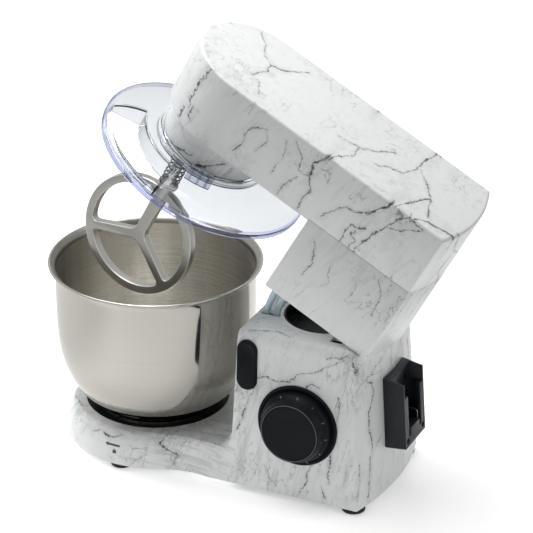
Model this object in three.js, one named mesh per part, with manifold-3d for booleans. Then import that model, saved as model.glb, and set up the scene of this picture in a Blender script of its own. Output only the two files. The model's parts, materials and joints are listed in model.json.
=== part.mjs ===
// Cordless tilt-head stand mixer: a marble-finish body with a battery dock at the rear, a steel
// bowl locked by a twist, a clear splash guard and a flat beater on an epicyclic head.
//
// Frame: millimetres, +Z up. X runs along the length with the bowl towards -X and the battery
// dock towards +X, and the speed dial is on the -Y side. The head is drawn level, as it stands
// when it is lowered for mixing, and its group is then turned up about the hinge pin.
import * as THREE from 'three';
import { mergeVertices } from 'three/addons/utils/BufferGeometryUtils.js';
import Module from 'manifold-3d';

const wasm = await Module();
wasm.setup();

// ---------------------------------------------------------------- driving dimensions
const CLEAR = 0.3;             // gap between pieces that seat on each other
const RUN = 0.5;               // radial running clearance of turning pieces
const WALL = 3.5;              // wall of the base moulding

const FOOT_HEIGHT = 6.4;       // underside of the base above the table
const FOOT_RADIUS = 12.5;
const FOOT_FRONT_X = -1.6;     // centres of the front and rear feet
const FOOT_FRONT_Y = 81.8;
const FOOT_REAR_X = 256.8;
const FOOT_REAR_Y = 66.2;

const PLATE_RADIUS = 97;       // round front plate, at its lower edge
const PLATE_SHOULDER = 12;     // how far its shoulder draws in towards the top
const PLATE_HEIGHT = 37.3;     // plate top above the underside

const COLUMN_HALF = 80.7;      // half width of the column at the underside
const COLUMN_REAR = 266.4;     // rear corner of the column at the underside
const COLUMN_FRONT = 129.2;    // front face of the column at its top
const COLUMN_TOP = 181;        // top face above the table
const SIDE_DRAFT = 0.0517;     // each side leans in by this much per mm of height
const REAR_DRAFT = 0.0538;
const FRONT_DRAFT = 0.038;
const REAR_BULGE = 11.5;       // sagitta of the curved rear face
const FLARE_REACH = 27.6;      // how far the front corner sweeps forward at its foot
const FLARE_HEIGHT = 57.8;     // height over which it does so
const NECK_PULL = 42;          // how far the neck's top is drawn in towards the plate
const TOP_ROUND = 13;          // height of the rounding along the column's top edges
const TOP_ROUND_IN = 7;        // and its width

const SEAT_RADIUS = 76.5;      // recess for the bowl seat ring
const SEAT_DEPTH = 6.5;
const WELL_RADIUS = 45;        // round well in the column top
const WELL_X = 197;
const WELL_DEPTH = 17;

const HINGE_X = 244.3;         // hinge pin
const HINGE_Z = 159;
const PIN_RADIUS = 4;
const EAR_RADIUS = 10.5;
const EAR_INNER = 47;          // inner face of the head's hinge ears
const EAR_THICK = 8;
const EAR_LEAN = 20;           // forward lean of the ears when the head is lowered, degrees
const TILT = 28.5;             // head opening angle, degrees

const HEAD_HALF = 64.7;        // half width of the head and radius of its round front
const HEAD_REAR = 256.4;       // rear corner of the head
const HEAD_TOP = 349.5;
const HEAD_SEAM = 277.5;       // parting line of cover and housing
const HEAD_WALL = 3;
const BLOCK_FRONT = 132.7;     // front face of the deep rear part of the head
const BLOCK_LEAN = 0.024;
const FLOOR_THICK = 2.7;       // floor of the beam
const LIP_INSET = 1.2;         // shadow lip between cover and floor

const BOSS_RADIUS = 55.5;      // gearbox boss under the front of the head
const BOSS_BOTTOM = 235;
const BOSS_WALL = 2.5;

const RING_RIM = 1.660294;     // ring gear's rim behind its teeth
const ORBIT_ANGLE = -112.7;    // where the planet stands at rest, degrees
const BLADE_ANGLE = -7.3;      // heading of the beater's blade at rest
const PLANET_TEETH = 14;
const RING_TEETH = 48;
const GEAR_WIDTH = 11;
const GEAR_LOW = 250;          // lower face of the ring gear
const BACKLASH = 0.5;

const BOWL_RADIUS = 105.5;     // outer radius of the bowl wall
const BOWL_RIM = 113;          // outer radius of the rolled rim
const BOWL_TOP = 204.5;
const BOWL_WALL = 1.3;
const BOWL_FOOT = 61.5;        // foot ring
const BOWL_TWIST = 28;         // bayonet travel, degrees
const BOWL_LIFT = 6.8;         // underside of the bowl above the floor of its seat
// outside of the bowl wall: how far it lies inside its full radius, at heights above its underside
const BOWL_CURVE = [[31.5, 8.4], [23.5, 15.6], [16.5, 25.5], [10.5, 38], [5.7, 51], [0.9, 80],
  [0, 115]];

const BEATER_RADIUS = 65;
const BEATER_CENTRE = 118.5;   // centre of the beater's ring above the table, head lowered
const BEATER_BAND = 8.7;
const BEATER_THICK = 10;
const SHAFT_RADIUS = 5.5;      // mixing shaft
const HUB_RADIUS = 8;
const HUB_TOP = 189;

const GUARD_RADIUS = 113.5;    // splash guard rim
const GUARD_LOW = 215.5;
const GUARD_THICK = 2.2;
const CHUTE_INNER = 75;        // feed chute, an annular window with hanging walls
const CHUTE_OUTER = 107;
const CHUTE_FROM = 197;        // degrees about the bowl axis
const CHUTE_TO = 266;
const CHUTE_LOW = 219;

const MOTOR_X = 196;
const MOTOR_RADIUS = 36;
const MOTOR_LENGTH = 72;
const ROTOR_RADIUS = 4;
const PULLEY_SMALL = 11.7;
const PULLEY_LARGE = 44;
const PULLEY_LOW = 312;
const PULLEY_WIDTH = 12;
const BELT_THICK = 2;
const MAIN_SHAFT_RADIUS = 6;
const CHASSIS_THICK = 4;

const DIAL_X = 198.2;
const DIAL_Z = 89;
const BEZEL_RADIUS = 44;
const BEZEL_THICK = 2.4;
const KNOB_RADIUS = 38.5;
const KNOB_FACE = 31.6;
const KNOB_HEIGHT = 22;

const LOCK_X = 140.5;
const LOCK_Z = 144.7;
const LOCK_WIDTH = 22;
const LOCK_LENGTH = 55;
const LOCK_PROUD = 3;          // how far the button stands out of the column's side
const BAR_RADIUS = 1.6;
const BAR_Z = 150;

const SLOT_RADIUS = 101.6;     // centre of the slot in the locking quadrants
const SLOT_WIDTH = 4.2;
const STRIP_WIDTH = 6.5;
const QUADRANT_THICK = 3;
const QUADRANT_Y = 25;
const QUADRANT_LOW = -38;      // lower and upper end, degrees about the hinge, head lowered
const QUADRANT_HIGH = 20;

const DOCK_HALF = 26;          // battery dock
const DOCK_DEPTH = 21.8;
const DOCK_FRONT = 271;
const DOCK_TOP = 134.6;
const DOCK_BOTTOM = 56;
const DOCK_WALL = 3.5;
const RAIL_REACH = 6.5;

// ---------------------------------------------------------------- helpers
const rad = THREE.MathUtils.degToRad;
const { sin, cos, tan, sqrt, PI, max, min } = Math;
// facets round a large, a middling and a small turned piece
const [LARGE, MIDDLE, SMALL] = [28, 24, 14];
const P2 = (x, y) => new THREE.Vector2(x, y);
const polar = (r, deg, cx = 0, cy = 0) => P2(cx + r * cos(rad(deg)), cy + r * sin(rad(deg)));
const lerp = THREE.MathUtils.lerp;

/** A closed solid from a geometry: shared vertices merged, faces pointing out. */
function solid(geometry) {
  const plain = geometry.clone();
  for (const name of Object.keys(plain.attributes)) {
    if (name !== 'position') plain.deleteAttribute(name);
  }
  const merged = mergeVertices(plain, 1e-4);
  const position = merged.attributes.position.array;
  const index = merged.index.array;
  const tris = [];
  let volume = 0;
  const corner = (i) => new THREE.Vector3(...position.subarray(3 * i, 3 * i + 3));
  for (let i = 0; i < index.length; i += 3) {
    const [a, b, c] = index.subarray(i, i + 3);
    if (a === b || b === c || c === a) continue;
    tris.push(a, b, c);
    volume += corner(a).dot(corner(b).cross(corner(c)));
  }
  if (volume < 0) tris.reverse();
  return new wasm.Manifold(new wasm.Mesh({
    numProp: 3, vertProperties: Float32Array.from(position), triVerts: Uint32Array.from(tris),
  }));
}

/** The geometry of a solid, with flat facets. */
function geometryOf(body) {
  const mesh = body.getMesh();
  const geometry = new THREE.BufferGeometry();
  geometry.setAttribute('position', new THREE.BufferAttribute(mesh.vertProperties, 3));
  geometry.setIndex(new THREE.BufferAttribute(mesh.triVerts, 1));
  return geometry;
}

const join = (first, ...rest) => rest.reduce((sum, next) => sum.add(next), first);
const cut = (first, ...rest) => rest.reduce((left, next) => left.subtract(next), first);

/** Solid of revolution about Z from [radius, height] pairs. */
function revolve(profile, segments = MIDDLE) {
  const points = profile.map(([r, z]) => P2(r, z));
  if (profile[0][0] > 0) points.push(points[0].clone());
  return solid(new THREE.LatheGeometry(points, segments).rotateX(PI / 2));
}

/** Plain disc, or a ring when it has a bore, between two heights. */
function disc(radius, low, high, bore = 0, segments = MIDDLE) {
  return bore
    ? revolve([[bore, low], [radius, low], [radius, high], [bore, high]], segments)
    : revolve([[0, low], [radius, low], [radius, high], [0, high]], segments);
}

/** Prism of a plan outline between two heights. */
function prism(shape, low, high, curveSegments = 5) {
  const geometry = new THREE.ExtrudeGeometry(shape,
    { depth: high - low, bevelEnabled: false, curveSegments });
  return solid(geometry.translate(0, 0, low));
}

/** Prism of an X-Z outline between two Y values. */
function sidePrism(shape, from, to, curveSegments = 5) {
  const geometry = new THREE.ExtrudeGeometry(shape,
    { depth: to - from, bevelEnabled: false, curveSegments });
  return solid(geometry.rotateX(PI / 2).translate(0, to, 0));
}

function block(x0, x1, y0, y1, z0, z1) {
  const geometry = new THREE.BoxGeometry(x1 - x0, y1 - y0, z1 - z0);
  return solid(geometry.translate((x0 + x1) / 2, (y0 + y1) / 2, (z0 + z1) / 2));
}

const outline = (pairs) => new THREE.Shape(pairs.map(([x, y]) => P2(x, y)));

/** Upright stadium of a given width and length about a point. */
function stadium(cx, cy, width, length, grow = 0) {
  const r = width / 2 + grow;
  const reach = (length - width) / 2;
  const shape = new THREE.Shape();
  shape.absarc(cx, cy + reach, r, 0, PI, false);
  shape.absarc(cx, cy - reach, r, PI, 2 * PI, false);
  return shape;
}

/** Sector of a ring, as an outline. */
function sector(inner, outer, from, to, cx = 0, cy = 0) {
  const shape = new THREE.Shape();
  shape.absarc(cx, cy, outer, rad(from), rad(to), false);
  shape.absarc(cx, cy, inner, rad(to), rad(from), true);
  return shape;
}

/** Closed skin through plan sections of equal point count, capped at both ends. */
function loft(sections) {
  const count = sections[0].points.length;
  const position = [];
  const index = [];
  for (const { z, points } of sections) for (const p of points) position.push(p.x, p.y, z);
  for (let s = 0; s + 1 < sections.length; s++) {
    for (let i = 0; i < count; i++) {
      const a = s * count + i;
      const b = s * count + (i + 1) % count;
      index.push(a, b, b + count, a, b + count, a + count);
    }
  }
  const last = (sections.length - 1) * count;
  for (const [a, b, c] of THREE.ShapeUtils.triangulateShape(sections[0].points, [])) {
    index.push(c, b, a);
  }
  for (const [a, b, c] of THREE.ShapeUtils.triangulateShape(sections.at(-1).points, [])) {
    index.push(last + a, last + b, last + c);
  }
  const geometry = new THREE.BufferGeometry();
  geometry.setAttribute('position', new THREE.Float32BufferAttribute(position, 3));
  geometry.setIndex(index);
  return solid(geometry);
}

/** Wire coil about Z, closed at both ends. */
function coil(radius, wire, low, high, turns, halfSides, perTurn) {
  class Helix extends THREE.Curve {
    getPoint(t, target = new THREE.Vector3()) {
      const angle = 2 * PI * turns * t;
      return target.set(radius * cos(angle), radius * sin(angle),
        lerp(low + wire, high - wire, t));
    }
  }
  const section = new THREE.Shape();
  section.absarc(0, 0, wire, 0, 2 * PI, false);
  return new THREE.ExtrudeGeometry(section, {
    extrudePath: new Helix(), steps: Math.round(turns * perTurn), curveSegments: halfSides,
    bevelEnabled: false,
  });
}

// ---------------------------------------------------------------- materials
const material = (color, roughness, metalness = 0, extra = {}) =>
  new THREE.MeshStandardMaterial({ color, roughness, metalness, ...extra });
const marble = material('#e9ebea', 0.28);
const blackPlastic = material('#1d2125', 0.45);
const slatePlastic = material('#2b3136', 0.5);
const rubber = material('#141516', 0.85);
const steel = material('#c9c8c4', 0.16, 1);
const castAluminium = material('#a9a9a3', 0.38, 1);
const zinc = material('#b9ced6', 0.35, 1);
const brass = material('#b8a98a', 0.35, 1);
const clear = material('#dfe4ee', 0.08, 0, { transparent: true, opacity: 0.35 });
const board = material('#2f5a3f', 0.6);
const nylon = material('#e4e0d2', 0.5);

const assembly = new THREE.Group();
const base = new THREE.Group();
const headTurn = new THREE.Group();
const head = new THREE.Group();
assembly.add(base, headTurn);
headTurn.position.set(HINGE_X, 0, HINGE_Z);
headTurn.rotation.y = rad(TILT);
head.position.set(-HINGE_X, 0, -HINGE_Z);
headTurn.add(head);

/** Add a named piece to a group. */
function piece(group, name, shape, look) {
  const geometry = shape.isBufferGeometry ? shape : geometryOf(shape);
  const mesh = new THREE.Mesh(geometry, look);
  mesh.name = name;
  group.add(mesh);
  return mesh;
}

// ---------------------------------------------------------------- base moulding
const PLATE_TOP = FOOT_HEIGHT + PLATE_HEIGHT;
const sideHalf = (z) => COLUMN_HALF - SIDE_DRAFT * (z - FOOT_HEIGHT);
const rearCorner = (z) => COLUMN_REAR - REAR_DRAFT * (z - FOOT_HEIGHT);
const frontFace = (z) => COLUMN_FRONT - FRONT_DRAFT * (COLUMN_TOP - z);

/** Plate radius at a height: the shoulder is a quarter ellipse. */
function plateRadius(z) {
  const k = min(1, max(0, (z - FOOT_HEIGHT) / PLATE_HEIGHT));
  return PLATE_RADIUS - PLATE_SHOULDER * (1 - sqrt(1 - k * k));
}

/** Front corner of the column: it sweeps forward in a curve towards the table. */
function frontCorner(z) {
  const k = max(0, 1 - (z - FOOT_HEIGHT) / FLARE_HEIGHT);
  return frontFace(z) - FLARE_REACH * k ** 1.7;
}

/** Half width of the column, drawn in along its rounded top edge. */
function columnHalf(z) {
  const k = max(0, (z - (COLUMN_TOP - TOP_ROUND)) / TOP_ROUND);
  const inner = sideHalf(COLUMN_TOP - TOP_ROUND) - TOP_ROUND_IN;
  return k > 0 ? inner + TOP_ROUND_IN * sqrt(max(0, 1 - k * k)) : sideHalf(z);
}

/** Curved rear face from its middle to the -Y corner. */
function rearArc(corner, half, bulge, count) {
  return Array.from({ length: count }, (_, i) => {
    const k = i / (count - 1);
    return P2(corner + bulge * (1 - k * k), -half * k);
  });
}

/** A whole plan outline from its -Y half, which runs from the rear to the front middle. */
function mirrored(halfPoints) {
  const back = halfPoints.slice(1, -1).reverse().map((p) => P2(p.x, -p.y));
  return [...halfPoints, ...back].reverse();
}

const NECK_POINTS = 5;
const ARC_POINTS = 8;
const NECK_TANGENT = -70;       // where the neck leaves the round plate, degrees
const FRONT_POINTS = NECK_POINTS + ARC_POINTS;

/** Plan of the foot of the base: column, waisted neck and round plate. */
function footSection(z) {
  const half = sideHalf(z);
  const radius = plateRadius(z);
  const rise = (z - FOOT_HEIGHT) / PLATE_HEIGHT;
  const start = P2(frontCorner(z), -half);
  const end = polar(radius, NECK_TANGENT);
  const along = polar(1, NECK_TANGENT + 90);
  const reach = max(0, (-end.y - half) / along.y);
  const pull = NECK_PULL * (1 - sqrt(1 - min(1, rise * rise))) ** 0.6;
  const handle = end.clone().addScaledVector(along, reach + pull);
  const neck = new THREE.QuadraticBezierCurve(start, handle, end).getPoints(NECK_POINTS);
  const arc = Array.from({ length: ARC_POINTS }, (_, i) =>
    polar(radius, lerp(NECK_TANGENT, -180, (i + 1) / ARC_POINTS)));
  arc[ARC_POINTS - 1].y = 0;
  const rear = rearArc(rearCorner(z), half, REAR_BULGE, 4);
  return { z, points: mirrored([...rear, ...neck, ...arc]) };
}

/** Plan of the column above the plate. */
function columnSection(z) {
  const half = columnHalf(z);
  const x = frontCorner(z);
  const front = Array.from({ length: FRONT_POINTS + 1 }, (_, i) =>
    P2(x, -half * (1 - i / FRONT_POINTS)));
  return { z, points: mirrored([...rearArc(rearCorner(z), half, REAR_BULGE, 4), ...front]) };
}

const steps = (from, to, count) =>
  Array.from({ length: count + 1 }, (_, i) => lerp(from, to, i / count));

const footLevels = [0, 0.3, 0.55, 0.76, 0.91, 1].map((k) => FOOT_HEIGHT + k * PLATE_HEIGHT);
const flareLevels = steps(PLATE_TOP, FOOT_HEIGHT + FLARE_HEIGHT, 3);
const roundLevels = [0, 0.5, 0.85, 1].map((k) => COLUMN_TOP - TOP_ROUND * (1 - k));
const baseOuter = loft([...footLevels.map(footSection),
  ...[...flareLevels, ...roundLevels].map(columnSection)]);

/** Hollow of the column, open at the table side. */
function columnHollow(z) {
  const half = min(sideHalf(z) - WALL, sideHalf(COLUMN_TOP) - TOP_ROUND_IN - 0.6 * WALL
    + max(0, COLUMN_TOP - WALL - z));
  const x = frontFace(z) + WALL;
  const points = rearArc(rearCorner(z) - WALL, half, REAR_BULGE, 4);
  return { z, points: mirrored([...points, P2(x, -half), P2(x, 0)]) };
}
const hollowTop = COLUMN_TOP - WALL;
const plateHollowTop = PLATE_TOP - SEAT_DEPTH - WALL;
const plateHollow = plateRadius(plateHollowTop) - 1.3 * WALL;
const NECK_HALF = 60;
const baseHollow = join(
  loft([FOOT_HEIGHT - 1, hollowTop - TOP_ROUND, hollowTop].map(columnHollow)),
  disc(plateHollow, FOOT_HEIGHT - 1, plateHollowTop, 0, LARGE),
  block(plateHollow / 2, frontFace(FOOT_HEIGHT) + 2 * WALL, -NECK_HALF, NECK_HALF,
    FOOT_HEIGHT - 1, plateHollowTop));

// openings in the column: quadrant slots, ear slots, relief under the tilting head
const quadrantAt = (r, z) => HINGE_X - sqrt(r * r - (z - HINGE_Z) ** 2);
const stripOuter = SLOT_RADIUS + SLOT_WIDTH / 2 + STRIP_WIDTH;
const stripInner = SLOT_RADIUS - SLOT_WIDTH / 2 - STRIP_WIDTH;
const bothSides = [-1, 1];
const quadrantSlots = bothSides.map((s) => {
  const y = s * QUADRANT_Y;
  const half = QUADRANT_THICK / 2 + 2 * RUN;
  return block(quadrantAt(stripOuter, hollowTop) - 2 * RUN,
    quadrantAt(stripInner, COLUMN_TOP) + 2 * RUN, y - half, y + half, hollowTop - 1,
    COLUMN_TOP + 1);
});
const earForward = tan(rad(EAR_LEAN)) * (COLUMN_TOP - HINGE_Z);
const earBack = tan(rad(TILT - EAR_LEAN)) * (COLUMN_TOP - HINGE_Z);
const earSlots = bothSides.map((s) => {
  const from = EAR_INNER - 2 * RUN;
  const to = EAR_INNER + EAR_THICK + 2 * RUN;
  const reach = EAR_RADIUS / cos(rad(EAR_LEAN)) + 3 * RUN;
  return block(HINGE_X - earForward - reach, HINGE_X + earBack + reach,
    min(s * from, s * to), max(s * from, s * to), hollowTop - TOP_ROUND / 2, COLUMN_TOP + 1);
});
const HEAD_BOTTOM = COLUMN_TOP + 1;
const relief = new THREE.BoxGeometry(120, 2 * COLUMN_HALF + 20, 60)
  .translate(0, 0, HEAD_BOTTOM - HINGE_Z - 1 + 30)
  .rotateY(rad(TILT)).translate(HINGE_X, 0, HINGE_Z);

const lockHole = sidePrism(stadium(LOCK_X, LOCK_Z, LOCK_WIDTH, LOCK_LENGTH, CLEAR),
  -COLUMN_HALF - 10, -sideHalf(LOCK_Z) + 3 * WALL, 5);

/** A group on the column's drafted side: local X along the mixer, Y up the side, Z outwards. */
function sideGroup(x, z) {
  const group = new THREE.Group();
  group.position.set(x, -sideHalf(z), z);
  group.rotation.x = PI / 2 - Math.atan(SIDE_DRAFT);
  group.updateMatrix();
  return group;
}
const dial = sideGroup(DIAL_X, DIAL_Z);
base.add(dial);
const SPINDLE_RADIUS = 3;
const spindleHole = new THREE.CylinderGeometry(SPINDLE_RADIUS + 2 * RUN, SPINDLE_RADIUS + 2 * RUN,
  4 * WALL, SMALL).rotateX(PI / 2).applyMatrix4(dial.matrix);
const WIRE_HOLE = 5;
const wireHole = new THREE.CylinderGeometry(WIRE_HOLE, WIRE_HOLE, 8 * WALL, SMALL)
  .rotateZ(PI / 2).translate(rearCorner(DIAL_Z) + REAR_BULGE, 0, DOCK_TOP - 14);

const seatHole = disc(SEAT_RADIUS, PLATE_TOP - SEAT_DEPTH, PLATE_TOP + 5, 0, LARGE);
const wellHole = disc(WELL_RADIUS, COLUMN_TOP - 2 * WALL, COLUMN_TOP + 5)
  .translate([WELL_X, 0, 0]);
piece(base, 'base_shell', cut(baseOuter, baseHollow, seatHole, wellHole, ...quadrantSlots,
  ...earSlots, solid(relief), lockHole, solid(spindleHole), solid(wireHole)), marble);

// bottom cover, seated inside the lower edge of the moulding
const COVER_THICK = 2.5;
const coverLow = FOOT_HEIGHT + 0.6;
const coverHigh = coverLow + COVER_THICK;
const coverHalf = sideHalf(coverHigh) - WALL - CLEAR;
const coverRear = rearArc(rearCorner(coverHigh) - WALL - CLEAR, coverHalf, REAR_BULGE, 5);
const coverX = frontFace(coverLow) + WALL + CLEAR;
const feet = [
  ['foot_front_left', FOOT_FRONT_X, -FOOT_FRONT_Y], ['foot_front_right', FOOT_FRONT_X, FOOT_FRONT_Y],
  ['foot_rear_left', FOOT_REAR_X, -FOOT_REAR_Y], ['foot_rear_right', FOOT_REAR_X, FOOT_REAR_Y],
];
const FOOT_STEM = 4;
const stemHoles = feet.map(([, x, y]) =>
  disc(FOOT_STEM + CLEAR, 0, coverHigh + 1, 0, SMALL).translate([x, y, 0]));
const coverBody = join(
  disc(plateHollow - CLEAR, coverLow, coverHigh, 0, LARGE),
  block(plateHollow / 2, coverX + WALL, -NECK_HALF + CLEAR, NECK_HALF - CLEAR, coverLow,
    coverHigh),
  prism(new THREE.Shape(mirrored([...coverRear, P2(coverX, -coverHalf), P2(coverX, 0)])),
    coverLow, coverHigh));
piece(base, 'base_cover', cut(coverBody, ...stemHoles), slatePlastic);
for (const [name, x, y] of feet) {
  const foot = revolve([[0, 0], [FOOT_RADIUS - 1.5, 0], [FOOT_RADIUS, 1.2],
    [FOOT_RADIUS - 0.6, FOOT_HEIGHT - CLEAR], [FOOT_STEM, FOOT_HEIGHT - CLEAR],
    [FOOT_STEM, coverHigh], [0, coverHigh]], SMALL);
  piece(base, name, foot.translate([x, y, 0]), rubber);
}

// ---------------------------------------------------------------- bowl and its seat
const seatFloor = PLATE_TOP - SEAT_DEPTH;
const LUG_COUNT = 3;
const LUG_SPAN = 18;           // degrees
const LUG_REACH = 5;
const LUG_HEIGHT = 2.4;
const lugLow = seatFloor + 1.1;
const LIP_RADIUS = BOWL_FOOT + 1.2;
const lugTurns = Array.from({ length: LUG_COUNT }, (_, i) => 360 * i / LUG_COUNT);
const seatRing = revolve([
  [LIP_RADIUS + LUG_REACH + 1, seatFloor + CLEAR], [SEAT_RADIUS - CLEAR, seatFloor + CLEAR],
  [SEAT_RADIUS - CLEAR, PLATE_TOP - 0.4], [SEAT_RADIUS - 2, PLATE_TOP - 0.1],
  [LIP_RADIUS, PLATE_TOP - 1.2], [LIP_RADIUS, lugLow + LUG_HEIGHT + 0.4],
  [LIP_RADIUS + LUG_REACH + 1, lugLow + LUG_HEIGHT + 0.4]], LARGE);
const lugGates = lugTurns.map((turn) => prism(
  sector(LIP_RADIUS - 2, LIP_RADIUS + LUG_REACH + 0.8, turn + BOWL_TWIST - LUG_SPAN / 2 - 2,
    turn + BOWL_TWIST + LUG_SPAN / 2 + 2), seatFloor, PLATE_TOP + 1, 2));
piece(base, 'bowl_seat', cut(seatRing, ...lugGates), blackPlastic);

const bowlBottom = seatFloor + BOWL_LIFT;
const bowlWall = BOWL_CURVE.map(([inset, rise]) => P2(BOWL_RADIUS - inset, bowlBottom + rise));

/** A profile line moved inwards by a wall, square to itself. */
function offsetInwards(line, wall) {
  return line.map((p, i) => {
    const along = line[min(i + 1, line.length - 1)].clone().sub(line[max(i - 1, 0)]).normalize();
    return P2(p.x - along.y * wall, p.y + along.x * wall);
  });
}
const pairs = (line) => line.map((p) => [p.x, p.y]);
const footLow = seatFloor + 0.9;
const bowlSkin = revolve([[0, bowlBottom], [BOWL_FOOT - 4, bowlBottom], [BOWL_FOOT - 4, footLow],
  [BOWL_FOOT, footLow], [BOWL_FOOT, bowlBottom + 0.6], ...pairs(bowlWall),
  [BOWL_RADIUS, BOWL_TOP - 10], [BOWL_RIM - 1, BOWL_TOP - 4.4], [BOWL_RIM, BOWL_TOP - 2.3],
  [BOWL_RIM - 2.2, BOWL_TOP], [BOWL_RADIUS + 2.4, BOWL_TOP - 1.2],
  [BOWL_RADIUS - BOWL_WALL, BOWL_TOP - 9.5], ...pairs(offsetInwards(bowlWall, BOWL_WALL).reverse()),
  [BOWL_FOOT - 0.6, bowlBottom + 2], [0, bowlBottom + BOWL_WALL]], LARGE);
const lugs = lugTurns.map((turn) => prism(
  sector(BOWL_FOOT - 1, LIP_RADIUS + LUG_REACH, turn - LUG_SPAN / 2, turn + LUG_SPAN / 2),
  lugLow, lugLow + LUG_HEIGHT, 2));
piece(base, 'bowl', join(bowlSkin, ...lugs), steel);

// ---------------------------------------------------------------- column fittings
const LINER_WALL = 2;
const linerR = WELL_RADIUS - CLEAR;
const linerLow = COLUMN_TOP - WELL_DEPTH;
piece(base, 'well_liner', revolve([[0, linerLow], [linerR - 1, linerLow], [linerR, linerLow + 1],
  [linerR, hollowTop - 3], [linerR + 3, hollowTop - 3], [linerR + 3, hollowTop - CLEAR],
  [linerR, hollowTop - CLEAR], [linerR, COLUMN_TOP - 0.5],
  [linerR - LINER_WALL, COLUMN_TOP - 0.5], [linerR - LINER_WALL, linerLow + LINER_WALL],
  [0, linerLow + LINER_WALL]]).translate([WELL_X, 0, 0]), blackPlastic);

// hinge bracket: a steel saddle under the pin with one ear each side of the head's ears
const earOuter = EAR_INNER + EAR_THICK;
const BRACKET_THICK = 4;
const bracketInner = earOuter + 2 * RUN;
const bracketEar = new THREE.Shape();
bracketEar.absarc(HINGE_X, HINGE_Z, 10, 0, PI, false);
bracketEar.lineTo(HINGE_X - 18, HINGE_Z - 34);
bracketEar.lineTo(HINGE_X + 10, HINGE_Z - 34);
const pinBore = () => new THREE.Path().absarc(HINGE_X, HINGE_Z, PIN_RADIUS + CLEAR, 0, 2 * PI, true);
bracketEar.holes.push(pinBore());
const bracketOuter = bracketInner + BRACKET_THICK;
const saddle = join(
  ...bothSides.map((s) => sidePrism(bracketEar, min(s * bracketInner, s * bracketOuter),
    max(s * bracketInner, s * bracketOuter))),
  block(HINGE_X - 18, HINGE_X + 10, -bracketOuter, bracketOuter, HINGE_Z - 38, HINGE_Z - 34),
  block(HINGE_X + 6, rearCorner(HINGE_Z - 36) - WALL - 0.5, -30, 30, HINGE_Z - 38,
    HINGE_Z - 34));
piece(base, 'hinge_bracket', saddle, zinc);
const pinEnd = bracketOuter + 1;
const hingePin = new THREE.CylinderGeometry(PIN_RADIUS, PIN_RADIUS, 2 * pinEnd, MIDDLE)
  .translate(HINGE_X, 0, HINGE_Z);
piece(base, 'hinge_pin', solid(hingePin), steel);

// lock button, the bar it pushes through both quadrants, its guide and its spring
const lockFace = solid(new THREE.BoxGeometry(100, 40, 160)
  .applyMatrix4(new THREE.Matrix4().makeRotationX(Math.atan(SIDE_DRAFT)))
  .translate(LOCK_X, -sideHalf(LOCK_Z) - LOCK_PROUD + 20 / cos(Math.atan(SIDE_DRAFT)), LOCK_Z));
const lockBack = -sideHalf(LOCK_Z) + 1.4 * WALL;
const lockCap = sidePrism(stadium(LOCK_X, LOCK_Z, LOCK_WIDTH, LOCK_LENGTH), -COLUMN_HALF - 10,
  lockBack, 5).intersect(lockFace);
const dish = new THREE.SphereGeometry(26, MIDDLE, 16)
  .translate(LOCK_X, -sideHalf(LOCK_Z) - LOCK_PROUD - 24.6, LOCK_Z + LOCK_LENGTH / 4);
const barX = quadrantAt(SLOT_RADIUS, BAR_Z);
const barHole = new THREE.CylinderGeometry(BAR_RADIUS + CLEAR, BAR_RADIUS + CLEAR, 8, SMALL)
  .translate(barX, lockBack, BAR_Z);
piece(base, 'lock_button', cut(lockCap, solid(dish), solid(barHole)), blackPlastic);
const barFrom = lockBack - 3.5;
const barTo = QUADRANT_Y + 8;
const lockBar = new THREE.CylinderGeometry(BAR_RADIUS, BAR_RADIUS, barTo - barFrom, SMALL)
  .translate(barX, (barFrom + barTo) / 2, BAR_Z);
piece(base, 'lock_bar', solid(lockBar), steel);
const guideFrom = lockBack + 11;
const guideTo = guideFrom + 8;
const guideX = frontFace(BAR_Z) + WALL + CLEAR;
const guideBore = new THREE.CylinderGeometry(BAR_RADIUS + CLEAR, BAR_RADIUS + CLEAR, 30, SMALL)
  .translate(barX, guideFrom, BAR_Z);
piece(base, 'lock_guide', cut(block(guideX, barX + 7, guideFrom, guideTo, BAR_Z - 8, BAR_Z + 8),
  solid(guideBore)), nylon);
const lockSpring = coil(BAR_RADIUS + 2.2, 0.6, 0, guideFrom - lockBack - 2 * CLEAR, 4, 2, 8);
piece(base, 'lock_spring', lockSpring.rotateX(-PI / 2).translate(barX, lockBack + CLEAR, BAR_Z),
  steel);

// speed dial: bezel, skirted knob with its face ring and cap, and the rotary switch behind
piece(dial, 'dial_bezel', revolve([[SPINDLE_RADIUS + 2 * RUN, CLEAR], [BEZEL_RADIUS, CLEAR],
  [BEZEL_RADIUS, BEZEL_THICK - 0.5], [BEZEL_RADIUS - 0.7, BEZEL_THICK],
  [KNOB_RADIUS + 2, BEZEL_THICK], [KNOB_RADIUS + 1.2, BEZEL_THICK - 0.9],
  [SPINDLE_RADIUS + 2 * RUN, BEZEL_THICK - 0.9]]), blackPlastic);
const knobLow = BEZEL_THICK - 0.9 + RUN;
const grooveLow = KNOB_HEIGHT - 1.6;
const knobBody = revolve([[0, knobLow], [KNOB_RADIUS, knobLow], [KNOB_RADIUS - 0.6, knobLow + 5],
  [KNOB_RADIUS - 2, knobLow + 9], [KNOB_RADIUS - 3.4, knobLow + 10.6],
  [KNOB_FACE + 2.6, knobLow + 12], [KNOB_FACE + 1, knobLow + 17],
  [KNOB_FACE + 0.5, KNOB_HEIGHT - 0.6], [KNOB_FACE, KNOB_HEIGHT], [KNOB_FACE - 0.4, KNOB_HEIGHT],
  [KNOB_FACE - 0.4, grooveLow], [0, grooveLow]]);
const SWITCH_DEPTH = 12;
const spindleEnd = -WALL - 0.8 * SWITCH_DEPTH;
piece(dial, 'dial_knob', join(knobBody, disc(SPINDLE_RADIUS, spindleEnd, knobLow + 1, 0, SMALL)),
  blackPlastic);
const capRadius = KNOB_FACE - 0.4 - 1.5;
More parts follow.
